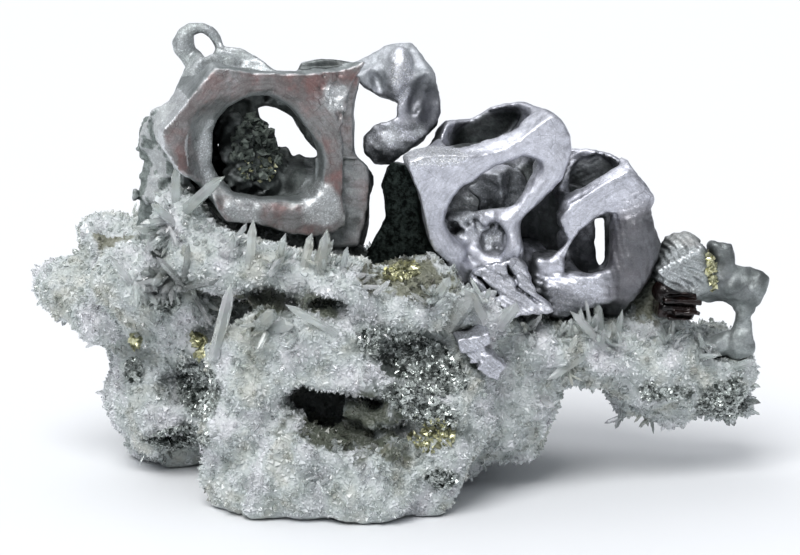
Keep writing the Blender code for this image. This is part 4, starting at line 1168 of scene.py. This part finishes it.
# Patches of chalcopyrite: the piece, where it is seen, its grain sizes and their density, and the CAD nodes
# that it stands for
CHALCOPYRITE = [
    ("left", [((-32.8, 17.0), (0.7, 0.9), 0)], (0.9, 1.6), 24, ["chalcopyrite_left_grain"]),
    ("middle", [((-24.8, 17.3), (0.8, 0.8), 0), ((-24.2, 15.7), (0.7, 0.7), 0)], (0.9, 1.6), 24,
     ["chalcopyrite_middle_grain"]),
    ("ledge", [((0.2, 25.9), (2.2, 1.1), 10)], (0.4, 0.8), 70, ["chalcopyrite_ledge_grain"]),
    ("cave", [((4.6, 6.4), (2.0, 1.8), 0), ((2.4, 5.2), (2.0, 0.6), -35)], (0.3, 0.8), 34,
     ["chalcopyrite_cave_grains"]),
    ("end", [((38.2, 26.2), (0.6, 2.8), 8)], (0.5, 1.0), 40, ["chalcopyrite_end_grain"]),
    ("specks", [((-17.0, 38.4), (2.6, 1.6), 0)], (0.3, 0.6), 8, []),
]


def scatter(places, sizes, chance):
    """Grains at places, each turned and stretched at random: their points and faces."""
    count = len(places)
    w, x, y, z = unit(chance.normal(size=(count, 4))).T
    turn = np.array([
        (1 - 2 * (y * y + z * z), 2 * (x * y - w * z), 2 * (x * z + w * y)),
        (2 * (x * y + w * z), 1 - 2 * (x * x + z * z), 2 * (y * z - w * x)),
        (2 * (x * z - w * y), 2 * (y * z + w * x), 1 - 2 * (x * x + y * y)),
    ]).transpose(2, 0, 1)
    shaped = WEDGE_CORNERS * (sizes[:, None] * chance.uniform(0.7, 1.3, (count, 3)))[:, None]
    points = np.einsum("nij,nkj->nki", turn, shaped) + places[:, None]
    faces = WEDGE_FACES + (np.arange(count) * len(WEDGE_CORNERS))[:, None, None]
    return points.reshape(-1, 3), faces.reshape(-1, 3).tolist()


def from_front(tree, across, up):
    """Where a surface is seen in the view, and the way it faces, or None twice."""
    gaze = Vector((0, math.cos(VIEW_TILT), -math.sin(VIEW_TILT)))
    hit, outward = tree.ray_cast(Vector(place(across, up, 0)) - gaze * 100, gaze)[:2]
    return (np.array(hit), np.array(outward)) if hit else (None, None)


def on_front(tree, centre, reach, lean, count, chance):
    """Places on the front of a surface, where an oval patch is seen."""
    lean = math.radians(lean)
    found = []
    for _ in range(count):
        angle, size = chance.uniform(0, 2 * math.pi), math.sqrt(chance.uniform())
        along, across = size * reach[0] * math.cos(angle), size * reach[1] * math.sin(angle)
        right = centre[0] + along * math.cos(lean) - across * math.sin(lean)
        hit, _ = from_front(tree, right, centre[1] + along * math.sin(lean) + across * math.cos(lean))
        if hit is not None:
            found.append(hit + place(0, 0, -0.3))
    return found


# Materials


class Paint:
    """A material under construction: its nodes and the links between them."""

    def __init__(self, name):
        self.material = bpy.data.materials.new(name)
        self.material.use_nodes = True
        self.tree = self.material.node_tree
        self.shader = self.tree.nodes["Principled BSDF"]
        self.where = self.node("ShaderNodeTexCoord").outputs["Object"]

    def node(self, kind, settings=(), **inputs):
        made = self.tree.nodes.new(kind)
        for name, value in dict(settings).items():
            setattr(made, name, value)
        for name, value in inputs.items():
            self.feed(made.inputs[name.replace("_", " ")], value)
        return made

    def feed(self, socket, value):
        if isinstance(value, bpy.types.NodeSocket):
            self.tree.links.new(value, socket)
        else:
            socket.default_value = value

    def set(self, **inputs):
        for name, value in inputs.items():
            self.feed(self.shader.inputs[name.replace("_", " ")], value)

    def value(self, name):
        """A number stored on each point of the piece."""
        return self.node("ShaderNodeAttribute", {"attribute_name": name}).outputs["Fac"]

    def math(self, operation, *values):
        made = self.node("ShaderNodeMath", {"operation": operation})
        for socket, value in zip(made.inputs, values):
            self.feed(socket, value)
        return made.outputs[0]

    def times(self, first, second):
        return self.math("MULTIPLY", first, second)

    def noise(self, size, detail=3.0, rough=0.55, where=None):
        """Noise from 0 to 1 in lumps of this size in millimetres, at a place of its own if given."""
        scale = 1 / size if where else 1 / (size * MM)
        made = self.node("ShaderNodeTexNoise", Scale=scale, Detail=detail, Roughness=rough)
        self.feed(made.inputs["Vector"], where or self.where)
        return made.outputs["Fac"]

    def cells(self, size, output="Color", feature="F1"):
        """Cells of this size in millimetres."""
        made = self.node("ShaderNodeTexVoronoi", {"feature": feature}, Scale=1 / (size * MM))
        self.feed(made.inputs["Vector"], self.where)
        return made.outputs[output]

    def ramp(self, value, *stops):
        """Colours or greys along a value: stops of (position, colour)."""
        made = self.node("ShaderNodeValToRGB", Fac=value)
        marks = made.color_ramp.elements
        while len(marks) < len(stops):
            marks.new(0.5)
        for mark, (position, colour) in zip(marks, stops):
            mark.position = position
            mark.color = (*colour, 1) if isinstance(colour, tuple) else (colour, colour, colour, 1)
        return made.outputs["Color"]

    def mix(self, share, first, second, blend="MIX"):
        made = self.node("ShaderNodeMix", {"data_type": "RGBA", "blend_type": blend})
        self.feed(made.inputs[0], share)
        for socket, value in ((made.inputs[6], first), (made.inputs[7], second)):
            self.feed(socket, (*value, 1) if isinstance(value, tuple) else value)
        return made.outputs[2]

    def bump(self, height, distance, strength=1.0, normal=None):
        """A bump of this many millimetres."""
        made = self.node("ShaderNodeBump", Strength=strength, Distance=distance * MM, Height=height)
        if normal:
            self.feed(made.inputs["Normal"], normal)
        return made.outputs["Normal"]


def metal(name, light, shade, roughness=0.44):
    """Galena: streaks along its growth, glittering patches, stains, painted highlights on crests and painted
    shade.
    """
    paint = Paint(name)
    hollow, crest, flow, lines = (paint.value(key) for key in ("hollow", "crest", "flow", "lines"))
    stain, painted_shade, grit, glint = (paint.value(key) for key in ("stain", "painted_shade", "grit", "glint"))
    fine = paint.noise(0.24, 3, 0.7)
    speck = paint.cells(0.15)
    # Growth lines are noise drawn out along the edge of the hollow
    path = paint.node("ShaderNodeCombineXYZ", X=flow, Y=paint.times(paint.noise(2.4, 2), 3.2))
    streak = paint.noise(0.42, 4, 0.7, path.outputs[0])
    colour = paint.mix(paint.ramp(paint.noise(1.8, 4), (0.35, 0.0), (0.65, 1.0)), shade, light)
    colour = paint.mix(lines, colour, paint.ramp(streak, (0.36, 0.55), (0.5, 0.95), (0.66, 1.2)), "MULTIPLY")
    # Fine cracks run over parts of the smooth faces
    crack = paint.ramp(paint.cells(1.5, "Distance", "DISTANCE_TO_EDGE"), (0.0, 1.0), (0.03, 0.0))
    cracked = paint.times(crack, paint.ramp(paint.noise(3.0, 2), (0.52, 0.0), (0.6, 0.85)))
    colour = paint.mix(paint.times(cracked, lines), colour, (0.05, 0.05, 0.06))
    red = paint.ramp(paint.noise(3.2, 4, 0.65), (0.46, 0.0), (0.62, 1.0))
    stained = paint.mix(red, (0.165, 0.13, 0.125), (0.22, 0.10, 0.09))
    colour = paint.mix(paint.times(stain, 0.8), colour, stained)
    pale = paint.ramp(paint.noise(0.7, 4, 0.7), (0.35, 0.0), (0.65, 1.0))
    colour = paint.mix(grit, colour, paint.mix(pale, (0.10, 0.125, 0.115), (0.42, 0.47, 0.455)))
    sparkle = paint.ramp(speck, (0.22, 0.42), (0.42, 0.85), (0.66, 1.1), (0.84, 2.3))
    colour = paint.mix(paint.math("ADD", paint.times(glint, 0.85), 0.12), colour, sparkle, "MULTIPLY")
    # Glittering patches are lightened, and painted shade goes in the hollows and a painted highlight on the
    # crests
    for share, strength, tint in (
        (glint, 0.45, (0.80, 0.82, 0.84)), (hollow, 0.82, (0.035, 0.042, 0.042)),
        (crest, 0.35, (0.86, 0.87, 0.90)),
    ):
        colour = paint.mix(paint.times(share, strength), colour, tint)
    # Painted shade, nearly black, where the marks put it
    black = paint.ramp(paint.noise(0.8, 4, 0.75), (0.42, (0.001, 0.002, 0.0015)), (0.64, (0.03, 0.04, 0.036)))
    colour = paint.mix(painted_shade, colour, black)
    rough = paint.math("ADD", paint.times(fine, 0.2), roughness - 0.1)
    rough = paint.math("ADD", rough, paint.times(paint.math("MAXIMUM", hollow, grit), 0.3))
    normal = paint.bump(streak, 0.06, 0.5)
    normal = paint.bump(fine, 0.10, 0.5, normal)
    normal = paint.bump(paint.times(speck, paint.math("ADD", glint, 0.15)), 0.10, 0.8, normal)
    metallic = paint.math("SUBTRACT", 0.94, paint.times(grit, 0.5))
    paint.set(Base_Color=colour, Metallic=metallic, Roughness=rough, Normal=normal)
    return paint.material


def quartz(name, light, shade, transmission, roughness, bump=0.0):
    """Quartz, clear or clouded, with painted greenish shade in its hollows, olive parts and dark dust."""
    paint = Paint(name)
    tint = paint.mix(paint.value("tone"), shade, light)
    cloud = paint.ramp(
        paint.noise(5.0, 4), (0.34, (0.86, 0.86, 0.80)), (0.48, (0.86, 0.90, 0.89)), (0.64, (1.0, 0.99, 1.02))
    )
    tint = paint.mix(1.0, tint, cloud, "MULTIPLY")
    # Olive parts, painted greenish shade in the hollows, and dark patches
    for key, strength, colour in (
        ("olive", 0.85, (0.125, 0.125, 0.07)), ("hollow", 0.9, (0.075, 0.09, 0.075)),
        ("patch", 0.9, (0.07, 0.09, 0.08)),
    ):
        tint = paint.mix(paint.times(paint.value(key), strength), tint, colour)
    paint.set(Base_Color=tint, Roughness=roughness, Transmission_Weight=transmission, IOR=1.54)
    if not transmission:
        paint.set(Subsurface_Weight=0.4, Subsurface_Radius=(1.0, 1.0, 1.0), Subsurface_Scale=0.7 * MM)
    if bump:
        normal = paint.bump(paint.cells(0.45, "Distance"), 0.25, bump)
        paint.set(Normal=paint.bump(paint.noise(0.3, 3), 0.12, bump, normal))
    return paint.material


def grain(name, dark, light, metallic, roughness, size=0.6):
    """Grains that each differ a little."""
    paint = Paint(name)
    colour = paint.mix(paint.ramp(paint.cells(size), (0.15, 0.0), (0.7, 1.0)), dark, light)
    paint.set(Base_Color=colour, Metallic=metallic, Roughness=roughness)
    paint.set(Normal=paint.bump(paint.noise(0.25, 3), 0.08, 0.5))
    return paint.material


def ground():
    """The pale floor."""
    paint = Paint("floor")
    paint.set(Base_Color=(0.80, 0.81, 0.83, 1), Roughness=0.6, Specular_IOR_Level=0.2)
    return paint.material


# Marks of the metal


def within(points, outline, edge=0.5):
    """How far points are seen inside an outline, from 0 to 1."""
    return 1 - eased(-edge, edge, flat_distance(outline, 0.3)(seen(points)))


def oval(points, centre, reach):
    """How near points are seen to a place, from 0 to 1, with a ragged edge."""
    off = np.linalg.norm((seen(points) - centre) / reach, axis=1)
    return 1 - eased(0.6, 1.15, off + 0.3 * noise(points, 1.2, 55))


# Silvery parts of the left crystal: where they are seen, and how far they reach across and up
LEFT_SILVER = [
    ((-18.8, 33.3), (2.5, 2.1)), ((-9.7, 34.0), (2.8, 3.0)), ((-7.9, 46.8), (1.6, 2.0)),
    ((-23.0, 40.0), (1.6, 3.8)),
]


def left_marks(points, normals):
    """Stained on its front, silvery on its chamfer and low down, painted shade inside, and dull on its
    pillar.
    """
    local = LEFT.local(points)
    facing = -(normals @ LEFT.turn[:, 1])
    front = eased(0.5, 0.95, facing) * (1 - eased(0.8, 3.0, local[:, 1]))
    glint = np.max([oval(points, *spot) for spot in LEFT_SILVER], axis=0)
    side = (local[:, 0] < -8.5) & (facing < 0.8) & (local[:, 1] < 9)
    inside = (np.linalg.norm(local[:, [0, 2]] - (-0.4, 0.2), axis=1) < 8.4) & (local[:, 1] > 3.4)
    step = (points[:, 0] > -12.6) & (seen(points)[:, 1] > 49.9) & (local[:, 1] > 2.0) & (facing > 0.2)
    pillar = on_pillar(points)
    foot = (points[:, 0] > -7.4) & (local[:, 1] > 2.6)
    behind = (seen(points)[:, 1] > 49.6) & (local[:, 1] > 6)
    dusty = 0.5 * behind * eased(-0.3, 0.5, noise(points, 1.8, 57))
    return {
        "lines": 0.5 + 0.45 * front,
        "stain": front * np.clip(0.85 + 0.5 * noise(points, 2.4, 51), 0, 1) * (1 - 0.75 * glint),
        "glint": np.maximum(0.85 * glint, np.maximum(1.4 * side, 0.5 * behind)),
        # Painted shade inside the hollow, on the step where it faces the front, at the foot and a little on
        # the pillar
        "painted_shade": 0.55 * inside + 0.75 * step * ~inside + 0.4 * foot + 0.2 * pillar * ~inside,
        "grit": np.clip(0.9 * pillar + 0.55 * inside + dusty, 0, 0.95),
    }


def centre_marks(points, normals):
    """Painted black shade on its left side and deep inside, and speckled on its top left."""
    local = CENTRE.local(points)
    flat = seen(points)
    left = within(points, CENTRE_SIDE, 0.3) * (points[:, 1] > -8.6) * (flat[:, 1] < 39.2)
    left *= 1 - 0.55 * eased(0.1, 0.7, normals[:, 1] + 0.3 * noise(points, 2.0, 58))
    behind = eased(0.0, 2.0, points[:, 1]) * within(points, CENTRE_FAR) * (points[:, 1] < 6.6)
    top = within(points, CENTRE_TOP) * (local[:, 1] > 2.5) * (points[:, 1] < 8.4)
    knot = within(points, CENTRE_MOUTH, 0.8) * eased(1.0, 3.0, local[:, 1])
    return {
        "lines": 0.45,
        "glint": np.maximum(oval(points, (3.2, 39.8), (5.6, 1.4)), 0.5 * knot),
        # Painted shade: black on the left side where it faces the front, and dark on the far wall and in the
        # top hollow
        "painted_shade": np.clip(left + 0.6 * behind + 0.92 * top, 0, 1),
        "grit": np.clip(0.4 * knot + 0.4 * top + 0.3 * behind, 0, 1),
    }


def right_marks(points, normals):
    """Dull on its near post, with painted shade there, in its hollows and low down."""
    flat = seen(points)
    post = eased(24.2, 26.8, flat[:, 0] + 0.6 * noise(points, 1.6, 59))
    post *= 1 - eased(31.6, 34.4, flat[:, 1] - 0.35 * (flat[:, 0] - 28))
    top = within(points, RIGHT_TOP) * (points[:, 1] > -2.6) * (points[:, 1] < 5.6)
    window = within(points, RIGHT_WINDOW) * (points[:, 1] > -2)
    foot = 1 - eased(21.4, 23.4, flat[:, 1] + 0.3 * (flat[:, 0] - 24))
    return {
        "lines": 0.7 * (1 - 0.6 * post),
        "stain": 0.3 * post,
        "glint": 0.25 * (1 - eased(24.5, 25.6, flat[:, 1])) * (1 - post),
        # Painted shade on the near post, in the top hollow and the window, and low down
        "painted_shade": np.clip(0.7 * post + 0.6 * top + 0.5 * window + 0.6 * foot, 0, 0.9),
        "grit": 0.4 * top,
    }


def hook_marks(points, normals):
    """Bright on its shoulder, with painted shade in its bend and under its knob."""
    flat = seen(points)
    bend = eased(42.6, 44.0, flat[:, 1]) * (1 - eased(48.4, 50.4, flat[:, 1])) * eased(-0.5, 1.5, flat[:, 0])
    knob = 1 - eased(43.4, 44.6, flat[:, 1])
    leaf = oval(points, (0.1, 50.0), (1.5, 3.6))
    shoulder = eased(46.5, 49.0, flat[:, 1]) * (1 - leaf)
    return {
        "lines": 0.4,
        "glint": 0.5 * knob + 0.85 * leaf,
        # Painted shade in the bend, and under the knob where it faces down
        "painted_shade": np.clip(0.6 * bend * (1 - leaf) + 0.3 * knob * eased(-0.2, 0.6, -normals[:, 2]), 0, 0.9),
        "grit": 0.35 * knob * eased(-0.2, 0.4, noise(points, 1.6, 56)) + 0.45 * shoulder,
    }


def end_marks(points, normals):
    """Silvery and lined on its first block, brownish on top of it, with painted shade on its arm and low
    down.
    """
    flat = seen(points)
    first = 1 - eased(36.4, 37.6, flat[:, 0])
    top = eased(28.6, 29.4, flat[:, 1]) * first
    mottled = eased(-0.45, 0.45, noise(points, 2.2, 58)) * (1 - first)
    return {
        "lines": 0.4 + 0.6 * first,
        "stain": 0.6 * top,
        "glint": 0.45 * first,
        # Painted shade, mottled on the arm, and low down on the first block
        "painted_shade": 0.12 * (1 - first) + 0.42 * mottled + 0.3 * (1 - eased(22.0, 24.0, flat[:, 1])) * first,
        "grit": 0.5 * top + 0.3 * (1 - first) * (1 - mottled),
    }


def plain_marks(points, normals):
    """Lined and glittering all over, with a little painted shade."""
    return {"lines": 1.0, "glint": 0.2, "painted_shade": 0.16}


# The specimen


def build_galena(forms, around):
    """The metal crystals, from a table of their names, materials, slots, CAD nodes, growth lines and marks.
    """
    dull = metal("galena_dull", (0.50, 0.53, 0.54), (0.32, 0.35, 0.35), 0.47)
    bright = metal("galena_bright", (0.71, 0.72, 0.79), (0.54, 0.55, 0.61))
    left, centre, right = (
        prism(face, outline, -4, 30)[2]
        for face, outline in ((LEFT, LEFT_MOUTH), (CENTRE, CENTRE_MOUTH), (RIGHT, RIGHT_BAR))
    )
    pieces = [
        ("left", dull, "galena_dark", ["left_crystal"], left, left_marks),
        ("centre", bright, "galena", ["centre_crystal"], centre, centre_marks),
        ("right", bright, "galena", ["right_crystal"], right, right_marks),
        ("arm", bright, "galena", ["hook"], lambda p: p[:, 0] + p[:, 2], hook_marks),
        ("low", bright, "galena", ["lower_block"], lambda p: p[:, 2] + 0.5 * p[:, 0], plain_marks),
        ("end", dull, "galena", ["end_cluster"], lambda p: 0.8 * p[:, 2] - 0.5 * p[:, 0], end_marks),
        ("small", bright, "galena", ["small_upper", "small_lower"], lambda p: p[:, 2] + p[:, 0], plain_marks),
    ]
    for (name, material, slot, nodes, flow, marks), form in zip(pieces, forms):
        nodes = ["galena_" + node for node in nodes]
        metal_piece("galena_" + name, form, material, nodes, flow, marks, around)


def store_quartz(piece, feet, dark, rise, tone):
    """Stores the looks of crystals: how much painted shade each has at its foot, and the share of that at
    each of its points.
    """
    set_values(piece, "hollow", np.repeat(dark, len(rise)) * np.tile(rise, len(feet)))
    set_values(piece, "patch", np.repeat(0.75 * patch_share(feet, DARK_PATCHES), len(rise)))
    set_values(piece, "olive", np.repeat(patch_share(feet, OLIVE_PATCHES), len(rise)))
    set_values(piece, "tone", np.repeat(np.clip(tone, 0, 1), len(rise)))


class Crust:
    """The surface of the quartz, and the crystals that grow on it, clear of the metal."""

    def __init__(self, surface, metals, around):
        self.points, self.faces = surface
        self.metals = metals
        self.chance = np.random.default_rng(QUARTZ_SEED)
        self.normals = normals_of(*surface)
        self.tree = BVHTree.FromPolygons(self.points.tolist(), self.faces.tolist())
        # Painted shade where the space over the crust is hidden, and on the shaded patches
        hollow = eased(0.35, 0.95, covered(self.points, self.normals, around))
        self.hollow = np.maximum(hollow, 0.8 * patch_share(self.points, SHADED_PATCHES))
        bare = np.maximum(patch_share(self.points, DARK_PATCHES), patch_share(self.points, BARE_PATCHES))
        first = self.faces[:, 0]
        off_floor = self.points[first, 2] > 0.6
        self.weight = (1 - 0.85 * bare[first]) * (1 - 0.6 * self.hollow[first]) * off_floor

    def spots(self, weight, count):
        """Random places, where the weight of a face says how likely it is, and their face numbers."""
        return spread(self.points, self.faces, weight, count, self.chance)

    def outward(self, spot):
        """The way that the crust faces nearest to a place."""
        return np.array(self.tree.find_nearest(Vector(spot))[1])

    def grow(self, count, lengths, widths, lean, sprays):
        """Feet, tips and widths of crystals that point out from the crust and away from spray centres."""
        feet, chosen = self.spots(self.weight, count)
        outward = self.normals[self.faces[chosen]].mean(axis=1)
        nearest = np.array([np.linalg.norm(sprays - foot, axis=1).argmin() for foot in feet])
        away = lean * unit(feet - sprays[nearest])
        heading = unit(outward + away + self.chance.normal(0, 0.5, (count, 3)))
        length = self.chance.uniform(*lengths, count) * self.chance.uniform(0.6, 1, count)
        tips = feet + heading * length[:, None]
        kept = fitting(feet, tips, outward, self.metals)
        return (feet - heading * 0.35)[kept], tips[kept], self.chance.uniform(*widths, count)[kept]

    def clusters(self):
        """Feet, tips and widths of the crystals of all clusters, and of the largest needles."""
        clusters = []
        for where, lengths, count in SPRAYS:
            hit, outward = from_front(self.tree, *where)
            if hit is not None:
                clusters.append((hit, outward, lengths, count))
        behind = self.weight * (self.points[self.faces[:, 0], 1] > 4)
        for spot in self.spots(behind, BACK_CLUSTERS)[0]:
            clusters.append((spot, self.outward(spot), (1.0, 2.2), 14))
        grown = [burst(*cluster, self.chance) for cluster in clusters]
        _, outward, _, counts = zip(*clusters)
        outward = np.repeat(outward, counts, axis=0)
        feet, tips, widths = (np.concatenate(part) for part in zip(*grown))
        kept = fitting(feet, tips, outward, self.metals)
        large = [(from_front(self.tree, *foot)[0], place(*off), width) for foot, off, width in LARGE_NEEDLES]
        large = [(foot - 0.25 * off, foot + off, width) for foot, off, width in large if foot is not None]
        return [np.concatenate((part[kept], more)) for part, more in zip((feet, tips, widths), zip(*large))]

    def add(self, name, grown, material, point, sides):
        """A piece of all crystals that have grown, each like the crust at its foot."""
        feet = grown[0]
        corners, shapes = needles(*grown, self.chance, point, sides)
        piece = new_piece(name, corners, shapes, material)
        foot_face = [self.tree.find_nearest(Vector(foot))[2] for foot in feet]
        # Painted shade is full at each crystal's foot and less up towards its tip
        rise = np.full(len(corners) // len(feet), 0.7 if point == 1 else 0.35)
        rise[:sides] = 1
        tone = 0.5 + 0.3 * noise(feet, 1.8, 71) + self.chance.normal(0, 0.2, len(feet))
        store_quartz(piece, feet, self.hollow[self.faces[foot_face, 0]], rise, tone)


def build_quartz(surface, metals, around):
    """The crust, its crystals in two sizes, and the clusters."""
    crust = Crust(surface, metals, around)
    rough = quartz("quartz_crust", (0.68, 0.69, 0.70), (0.46, 0.49, 0.48), 0.0, 0.4, 0.8)
    points, faces = surface
    piece = new_piece("quartz_crust", points, faces.tolist(), rough, ["quartz_matrix"], smooth=True)
    store_quartz(piece, points, crust.hollow, np.ones(1), 0.5 + 0.4 * noise(points, 1.8, 71))
    spots = crust.spots(crust.weight, SPRAY_CENTRES)[0]
    sprays = spots - 2.2 * np.array([crust.outward(spot) for spot in spots])
    sugar = quartz("quartz_sugar", (0.90, 0.91, 0.93), (0.52, 0.55, 0.55), 0.0, 0.25)
    clear = quartz("quartz_clear", (0.98, 0.98, 0.98), (0.84, 0.87, 0.86), 0.7, 0.1)
    grown = crust.grow(int(SUGAR_COUNT / COARSE), (0.2, 0.55), (0.5, 1.0), 0.15, sprays)
    crust.add("quartz_sugar", grown, sugar, 1, 4)
    grown = crust.grow(int(FINE_COUNT / COARSE), (0.4, 1.1), (0.4, 0.8), 0.5, sprays)
    crust.add("quartz_fine", grown, clear, 0.3, 6)
    crust.add("quartz_clusters", crust.clusters(), clear, 0.25, 6)


def build_grains(tree):
    """Dark and brassy grains, where they are seen on the front of the specimen."""
    chance = np.random.default_rng(GRAIN_SEED)
    dark = grain("sphalerite", (0.045, 0.055, 0.05), (0.60, 0.64, 0.62), 0.6, 0.2)
    brass = grain("chalcopyrite", (0.15, 0.155, 0.085), (0.68, 0.67, 0.44), 0.85, 0.34)

    def add(name, patches, sizes, density, material, nodes):
        places = []
        for centre, reach, lean in patches:
            places += on_front(tree, centre, reach, lean, round(density * reach[0] * reach[1]), chance)
        points, faces = scatter(np.array(places), chance.uniform(*sizes, len(places)), chance)
        new_piece(name, points, faces, material, nodes)

    add("sphalerite_front", DARK_PATCHES, (0.25, 0.7), 62, dark,
        ["sphalerite_front_grains", "sphalerite_left_grains"])
    dull = grain("sphalerite_dull", (0.02, 0.028, 0.024), (0.17, 0.20, 0.175), 0.1, 0.5)
    add("sphalerite_inside", [((-17.6, 41.0), (3.0, 4.2), 0)], (0.5, 1.3), 12, dull, [])
    brown = grain("sphalerite_red", (0.003, 0.002, 0.002), (0.017, 0.009, 0.008), 0.2, 0.12, 1.4)
    points, faces = sphalerite_form().surface()
    nodes = ["sphalerite_end_crystals"]
    new_piece("sphalerite_end", points, faces.tolist(), brown, nodes, smooth=True)
    for name, patches, sizes, density, nodes in CHALCOPYRITE:
        add("chalcopyrite_" + name, patches, sizes, density, brass, nodes)


def tree_of(surfaces):
    """All surfaces, to be found by rays."""
    points, faces, count = [], [], 0
    for corners, quads in surfaces:
        points += corners.tolist()
        faces += (quads + count).tolist()
        count += len(corners)
    return BVHTree.FromPolygons(points, faces)


# Broad lights over the specimen: strength, how wide they are in degrees, and the way their light goes
SUNS = [
    ("overhead", 2.7, 36, (0.28, 0.75, -1)),
    ("window", 0.7, 50, (0.5, -0.5, -1)),
]


def build_floor():
    mesh = bpy.data.meshes.new("floor")
    across, back = (-1, 1, 1, -1), (-1, -1, 1, 1)
    corners = [(FLOOR_REACH * x, FLOOR_REACH * y, 0) for x, y in zip(across, back)]
    mesh.from_pydata(corners, [], [(0, 1, 2, 3)])
    mesh.materials.append(ground())
    floor = bpy.data.objects.new("floor", mesh)
    bpy.context.scene.collection.objects.link(floor)


def build_light():
    """The room's even light, and the broad lights in it."""
    world = bpy.data.worlds.new("room")
    world.use_nodes = True
    nodes, links = world.node_tree.nodes, world.node_tree.links
    background = nodes["Background"]
    height = nodes.new("ShaderNodeSeparateXYZ")
    links.new(nodes.new("ShaderNodeTexCoord").outputs["Generated"], height.inputs[0])
    ramp = nodes.new("ShaderNodeValToRGB")
    links.new(height.outputs["Z"], ramp.inputs[0])
    for mark, (position, colour) in zip(ramp.color_ramp.elements, SKY):
        mark.position = position
        mark.color = colour
    links.new(ramp.outputs[0], background.inputs["Color"])
    background.inputs["Strength"].default_value = SKY_STRENGTH
    bpy.context.scene.world = world

    for name, energy, spread_angle, travel in SUNS:
        sun = bpy.data.lights.new(name, "SUN")
        sun.energy = energy
        sun.angle = math.radians(spread_angle)
        made = bpy.data.objects.new(name, sun)
        made.rotation_euler = Vector(travel).to_track_quat("-Z", "Y").to_euler()
        bpy.context.scene.collection.objects.link(made)


def build_camera():
    """A camera far off with a long lens, tilted down at the specimen."""
    lens = bpy.data.cameras.new("camera")
    lens.sensor_width = 36
    lens.lens = 180
    lens.clip_start = 0.01
    camera = bpy.data.objects.new("camera", lens)
    toward = Vector((0, -math.cos(VIEW_TILT), math.sin(VIEW_TILT)))
    above = Vector((0, math.sin(VIEW_TILT), math.cos(VIEW_TILT)))
    camera.location = above * CAMERA_HEIGHT + toward * CAMERA_DISTANCE
    camera.rotation_euler = (-toward).to_track_quat("-Z", "Y").to_euler()
    bpy.context.scene.collection.objects.link(camera)
    bpy.context.scene.camera = camera
    bpy.context.scene.view_settings.view_transform = "Standard"


build_camera()
FORMS = [
    left_form(), centre_form(), right_form(), hook_form(), lower_block_form(), end_form(), small_form(),
]
MATRIX = matrix_form()
AROUND = filled_by([MATRIX, *FORMS])
build_galena(FORMS, AROUND)
CRUST = MATRIX.surface()
build_quartz(CRUST, FORMS, AROUND)
build_grains(tree_of([CRUST, *(form.surface() for form in FORMS)]))
build_floor()
build_light()
